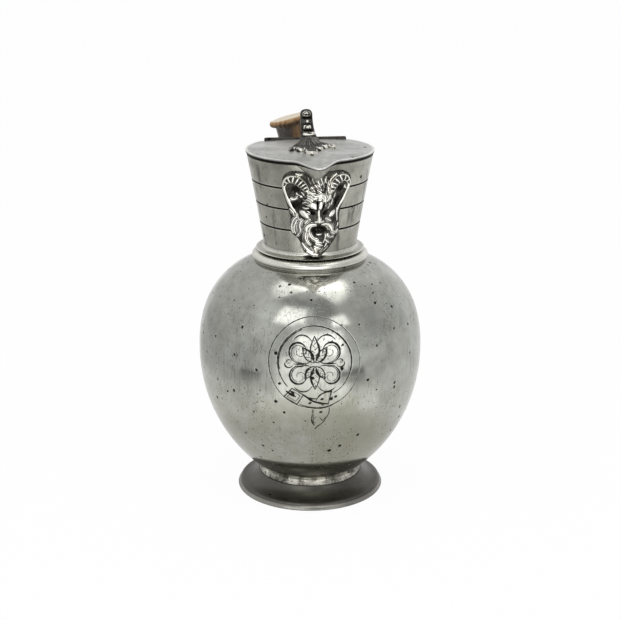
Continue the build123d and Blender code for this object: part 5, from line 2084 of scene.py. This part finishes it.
@dataclass
class AntlerHandle(Assembly):
    """The antler of the handle, with its burr and cut face at the top."""

    top_radius: float = 11.0
    end_radius: float = 7.4
    burr_thickness: float = 4.6
    sides: int = 112
    sections: int = 150
    face_rings: int = 6

    def build(self) -> None:
        """Loft the antler along its line, and groove it."""
        places = [Vector(row) for row in smooth_rows(ANTLER_LINE, self.sections)]
        deselect_all()
        bpy.ops.mesh.primitive_circle_add(vertices=self.sides, radius=MM, fill_type="NGON")
        antler = take_new("antler_beam")
        rings = self._burr_rings(places) + self._beam_rings(places)
        with editing(antler):
            for _ in rings[1:]:
                extrude((0, 0, -1))
        self._place_rings(antler, rings)
        close_up(antler)
        finish = self.finishes["antler"]
        self.settle(antler, Body.JUG, Slot.ANTLER, finish, ("antler_grip",), sharp=50)

    def _burr_rings(self, places: list[Vector]) -> list[Ring]:
        """Rings of the cut face and the burr, from the face's middle down."""
        tilt = Matrix.Rotation(math.radians(-15), 3, "Y")
        tilt = Matrix.Rotation(math.radians(-5), 3, "X") @ tilt
        centre = places[0]
        half = self.burr_thickness / 2
        rings = []
        for reach, rise, knob in (
            (0.6, half - 0.25, 0.0),
            (3.0, half - 0.2, 0.0),
            (6.0, half - 0.1, 0.05),
            (9.0, half, 0.1),
            (11.4, half, 0.2),
            (13.2, half - 0.05, 0.5),
            (14.2, half - 0.5, 0.9),
            (14.75, half - 1.2, 1.0),
            (14.8, half - 2.2, 1.0),
            (14.5, half - 3.2, 1.0),
            (13.6, half - 4.0, 0.8),
            (12.4, half - 4.6, 0.5),
        ):
            rings.append((centre + tilt @ Vector((0, 0, rise)), tilt, reach, knob, 1.0))
        return rings

    def _beam_rings(self, places: list[Vector]) -> list[Ring]:
        """Rings of the beam, from under the burr to the lower end."""
        rings = []
        last = len(places) - 1
        for i in range(3, len(places)):
            share = i / last
            way = (places[min(i + 1, last)] - places[i - 1]).normalized()
            side = Vector((1, 0, 0)) - way * way.x
            side.normalize()
            turn = Matrix((side, way.cross(side) * -1, -way)).transposed()
            radius = self.top_radius + (self.end_radius - self.top_radius) * share**1.3
            rings.append((places[i], turn, radius, 0.0, self._looseness(share)))
        return rings

    def _looseness(self, share: float) -> float:
        """How deep the grooves may be at a share of the length: shallow under band and ferrule."""
        band = max(0.0, 1 - abs(share - 0.1475) / 0.055)
        ferrule = max(0.0, min(1.0, (share - 0.83) / 0.03))
        return 1 - 0.92 * min(1.0, max(band * 2, ferrule))

    def _place_rings(self, antler: Piece, rings: list[Ring]) -> None:
        """Put every ring's vertices in place with knobs and grooves, and mark what each is.

        Args:
            antler: The extruded stack of rings.
            rings: Middle, turn, radius, knob depth and groove depth of each ring.
        """
        total = len(antler.data.vertices)
        names = ("cut_face", "burr", "groove", "glow")
        marks = {name: np.zeros(total, np.float32) for name in names}
        for number, (middle, turn, radius, knob, loose) in enumerate(rings):
            for k in range(self.sides):
                angle = math.tau * k / self.sides
                out = Vector((math.cos(angle), math.sin(angle), 0))
                index = number * self.sides + k
                wave = noise.noise(Vector((out.x * 2.2, out.y * 2.2, number * 0.012)))
                ridge = noise.noise(Vector((out.x * 5.0, out.y * 5.0, number * 0.022 + 7)))
                fine = abs(noise.noise(Vector((out.x * 9.0, out.y * 9.0, number * 0.03 + 3))))
                lift = 0.0
                if number < len(BURR_SHADES):
                    pearl = abs(math.sin(angle * 8.5 + 2 * wave)) ** 1.4 + 0.5 * ridge
                    reach = radius * (1 + 0.05 * wave) - knob * (1.15 - pearl) * 1.5
                    lift = 0.25 * knob * ridge
                    if number < self.face_rings:
                        marks["cut_face"][index] = max(0.0, min(1.0, (12.9 - reach) / 0.8))
                    marks["burr"][index] = BURR_SHADES[number]
                else:
                    depth = loose * (0.42 * max(0.0, ridge) + 0.5 * (0.22 - min(0.22, fine)))
                    reach = radius + loose * 0.35 * wave - depth
                    marks["groove"][index] = min(1.0, depth * 3.0)
                    # Painted glow: one side of the beam's upper part is marked for the amber of its
                    # lit side.
                    lit = max(0.0, 1 - ((angle - 5.3) / 0.8) ** 2)
                    marks["glow"][index] = lit * max(0.0, 1 - abs(number - 20) / 18)
                point = middle + turn @ (out * reach + Vector((0, 0, lift)))
                antler.data.vertices[index].co = point * MM
        for name, values in marks.items():
            set_values(antler, name, values)


@dataclass
class CarriedParts(Assembly):
    """CAD pieces whose shapes stay and that get their finishes here."""

    def build(self) -> None:
        """Give every carried piece its material."""
        finishes = self.finishes
        dressed = {
            finishes["lip"]: ("pouring_lip",),
            finishes["hinge"]: ("rear_plate", "fixed_knuckles", "hinge_pin", "lid_knuckles"),
            finishes["fitting"]: ("lid_bezel", "handle_arm", "lower_saddle"),
            finishes["foot"]: ("handle_band", "band_rivet", "handle_ferrule", "ferrule_rivet"),
        }
        for material, names in dressed.items():
            for name in names:
                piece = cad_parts[name]
                piece.data.materials.clear()
                piece.data.materials.append(material)
                LOG.info("%s: carried over with %s", name, material.name)


# ---------------------------------------------------------------- the studio


@dataclass(frozen=True)
class Softbox:
    """One soft lamp: where it stands, what it looks at, its size and its power."""

    name: str
    place: Triple
    aim: Triple
    width: float
    height: float
    power: float


@dataclass(frozen=True)
class Patch:
    """A lighter or darker field of the room, in degrees right of the front and above the floor."""

    left: float
    right: float
    low: float
    high: float
    level: float
    soft: float = 5.0


@dataclass(frozen=True)
class Studio:
    """Camera, floor, soft lamps and surroundings."""

    lens: float = 82.28
    camera_place: Triple = (-95.4, -907.9, 415.6)
    camera_pitch: float = 17.6404
    camera_turn: float = -6.0
    wall_level: float = 0.75
    middle_height: float = 100.0
    floor_level: float = 0.88
    floor_seen: float = 0.96
    floor_paint: Triple = (0.86, 0.86, 0.86)
    room_light: float = 0.78
    patches: tuple[Patch, ...] = (
        Patch(-165, -44, 8, 62, 0.90, 8),
        Patch(-200, -78, 64, 100, 2.2, 5),
        Patch(44, 200, 62, 100, 2.3, 5),
        Patch(-72, 40, 62, 74, 0.45, 4),
        Patch(0, 34, 44, 72, 0.42, 5),
        Patch(-52, -12, 36, 60, 2.3, 4),
        Patch(-26, -8, 28, 40, 0.95, 4),
        Patch(22, 42, 33, 46, 2.4, 3),
        Patch(-20, 30, -12, 27, 2.4, 5),
        Patch(60, 84, 6, 42, 0.6, 6),
        Patch(120, 160, -10, 60, 0.95, 10),
    )
    floor_patches: tuple[Patch, ...] = (
        Patch(-220, 220, -90, -40, 0.74, 5),
        Patch(-150, -60, -20, 2, 0.68, 3),
        Patch(-56, 60, -33, -21, 1.2, 4),
        Patch(-36, 32, -25, 2, 1.75, 5),
        Patch(20, 46, -16.4, -11, 0.26, 2.5),
        Patch(-74, -52, -16.8, -14.0, 0.16, 1.8),
    )
    softboxes: tuple[Softbox, ...] = (
        Softbox("softbox_left", (-330, -420, 820), (0, -20, 140), 300, 220, 1.1),
        Softbox("softbox_right", (260, -440, 820), (0, -20, 140), 220, 220, 0.9),
        Softbox("softbox_top", (-20, -120, 900), (0, -20, 140), 420, 160, 1.0),
    )

    def build(self) -> None:
        """Set up everything round the jug."""
        self._add_camera()
        self._add_floor()
        for box in self.softboxes:
            self._add_softbox(box)
        self._light_surroundings()
        bpy.context.scene.view_settings.view_transform = "Standard"

    def _add_camera(self) -> None:
        """Place the camera."""
        data = bpy.data.cameras.new("jug_camera")
        data.lens = self.lens
        data.sensor_width = 36.0
        data.clip_end = 50.0
        camera = bpy.data.objects.new("jug_camera", data)
        bpy.context.scene.collection.objects.link(camera)
        camera.location = Vector(self.camera_place) * MM
        pitch = math.radians(90 - self.camera_pitch)
        camera.rotation_euler = (pitch, 0, math.radians(self.camera_turn))
        bpy.context.scene.camera = camera

    def _add_floor(self) -> None:
        """Lay the plain white floor, which keeps a faint shadow."""
        deselect_all()
        bpy.ops.mesh.primitive_plane_add(size=24.0)
        floor = take_new("floor")
        material = bpy.data.materials.new("white_floor")
        material.use_nodes = True
        tree = material.node_tree
        tree.nodes.clear()
        wires = Wires(tree)
        path = wires.node("LightPath", {}).outputs
        shone = path["Is Glossy Ray"]
        seen = wires.most(wires.times(path["Is Camera Ray"], self.floor_seen), shone)
        seen = wires.most(seen, path["Is Transmission Ray"])
        spot = wires.place()
        ahead = wires.times(wires.part(spot, 1), -1.0)
        turn = wires.maths("DEGREES", wires.maths("ARCTAN2", wires.part(spot, 0), ahead))
        reach = wires.node("VectorMath", {0: spot}, operation="LENGTH").outputs[1]
        rise = wires.maths("DEGREES", wires.maths("ARCTAN2", -self.middle_height * MM, reach))
        level = self._room(wires, turn, rise, self.floor_level, self.floor_patches)
        paint = wires.node("BsdfDiffuse", {"Color": (*self.floor_paint, 1)})
        strength = wires.between(shone, 1.0, level)
        glow = wires.node("Emission", {"Color": (1, 1, 1, 1), "Strength": strength})
        mix = wires.node("MixShader", {0: seen, 1: paint.outputs[0], 2: glow.outputs[0]})
        wires.node("OutputMaterial", {"Surface": mix.outputs[0]})
        floor.data.materials.append(material)

    def _add_softbox(self, box: Softbox) -> None:
        """Hang one soft lamp."""
        data = bpy.data.lights.new(box.name, "AREA")
        data.shape = "RECTANGLE"
        data.size = box.width * MM
        data.size_y = box.height * MM
        data.energy = box.power
        lamp = bpy.data.objects.new(box.name, data)
        lamp.visible_glossy = False
        bpy.context.scene.collection.objects.link(lamp)
        lamp.location = Vector(box.place) * MM
        way = Vector(box.aim) - Vector(box.place)
        lamp.rotation_euler = way.to_track_quat("-Z", "Y").to_euler()

    def _light_surroundings(self) -> None:
        """White backdrop to look at, and a plain studio room to be lit by and to shine."""
        world = bpy.data.worlds.new("studio_room")
        bpy.context.scene.world = world
        world.use_nodes = True
        tree = world.node_tree
        tree.nodes.clear()
        wires = Wires(tree)
        path = wires.node("LightPath", {}).outputs
        way = wires.place("Generated")
        ahead = wires.times(wires.part(way, 1), -1.0)
        turn = wires.maths("DEGREES", wires.maths("ARCTAN2", wires.part(way, 0), ahead))
        rise = wires.maths("DEGREES", wires.maths("ARCSINE", wires.part(way, 2)))
        room = self._room(wires, turn, rise, self.wall_level, self.patches)
        seen = wires.most(path["Is Camera Ray"], path["Is Transmission Ray"])
        strength = wires.between(path["Is Glossy Ray"], self.room_light, room)
        strength = wires.between(seen, strength, 1.0)
        light = wires.node("Background", {"Color": (1, 1, 1, 1), "Strength": strength})
        wires.node("OutputWorld", {"Surface": light.outputs[0]})

    def _room(
        self, wires: Wires, turn: Socket, rise: Socket, base: float, patches: tuple[Patch, ...]
    ) -> Socket:
        """How bright the room is in a direction, from its base level and its patches.

        Args:
            wires: The wiring helper.
            turn: Angle round the jug in degrees.
            rise: Angle above the level in degrees.
            base: Level where no patch lies.
            patches: Lighter and darker parts of the room.

        Returns:
            The level.
        """
        room = wires.plus(base, 0.0)
        for patch in patches:
            across = self._window(wires, turn, patch.left, patch.right, patch.soft)
            up = self._window(wires, rise, patch.low, patch.high, patch.soft)
            share = wires.times(across, up)
            room = wires.between(share, room, patch.level)
        return room

    def _window(self, wires: Wires, value: Socket, low: float, high: float, soft: float) -> Socket:
        """A share that is one between two angles and falls off softly at both."""
        rising = wires.ramp(value, low - soft, low + soft)
        return wires.times(rising, wires.ramp(value, high - soft, high + soft, 1.0, 0.0))


def main() -> None:
    """Build the studio and the jug's pieces in order."""
    logging.basicConfig(level=logging.INFO, format="%(name)s: %(message)s")
    Studio().build()
    lines = JugLines()
    effects = SurfaceEffects()
    finishes = {name: finish.material(effects) for name, finish in FINISHES.items()}
    for kind in (Foot, Bowl, Neck, SatyrMask, Lid, Thumbpiece, AntlerHandle, CarriedParts):
        kind(lines, finishes).build()


if __name__ == "__main__":
    main()
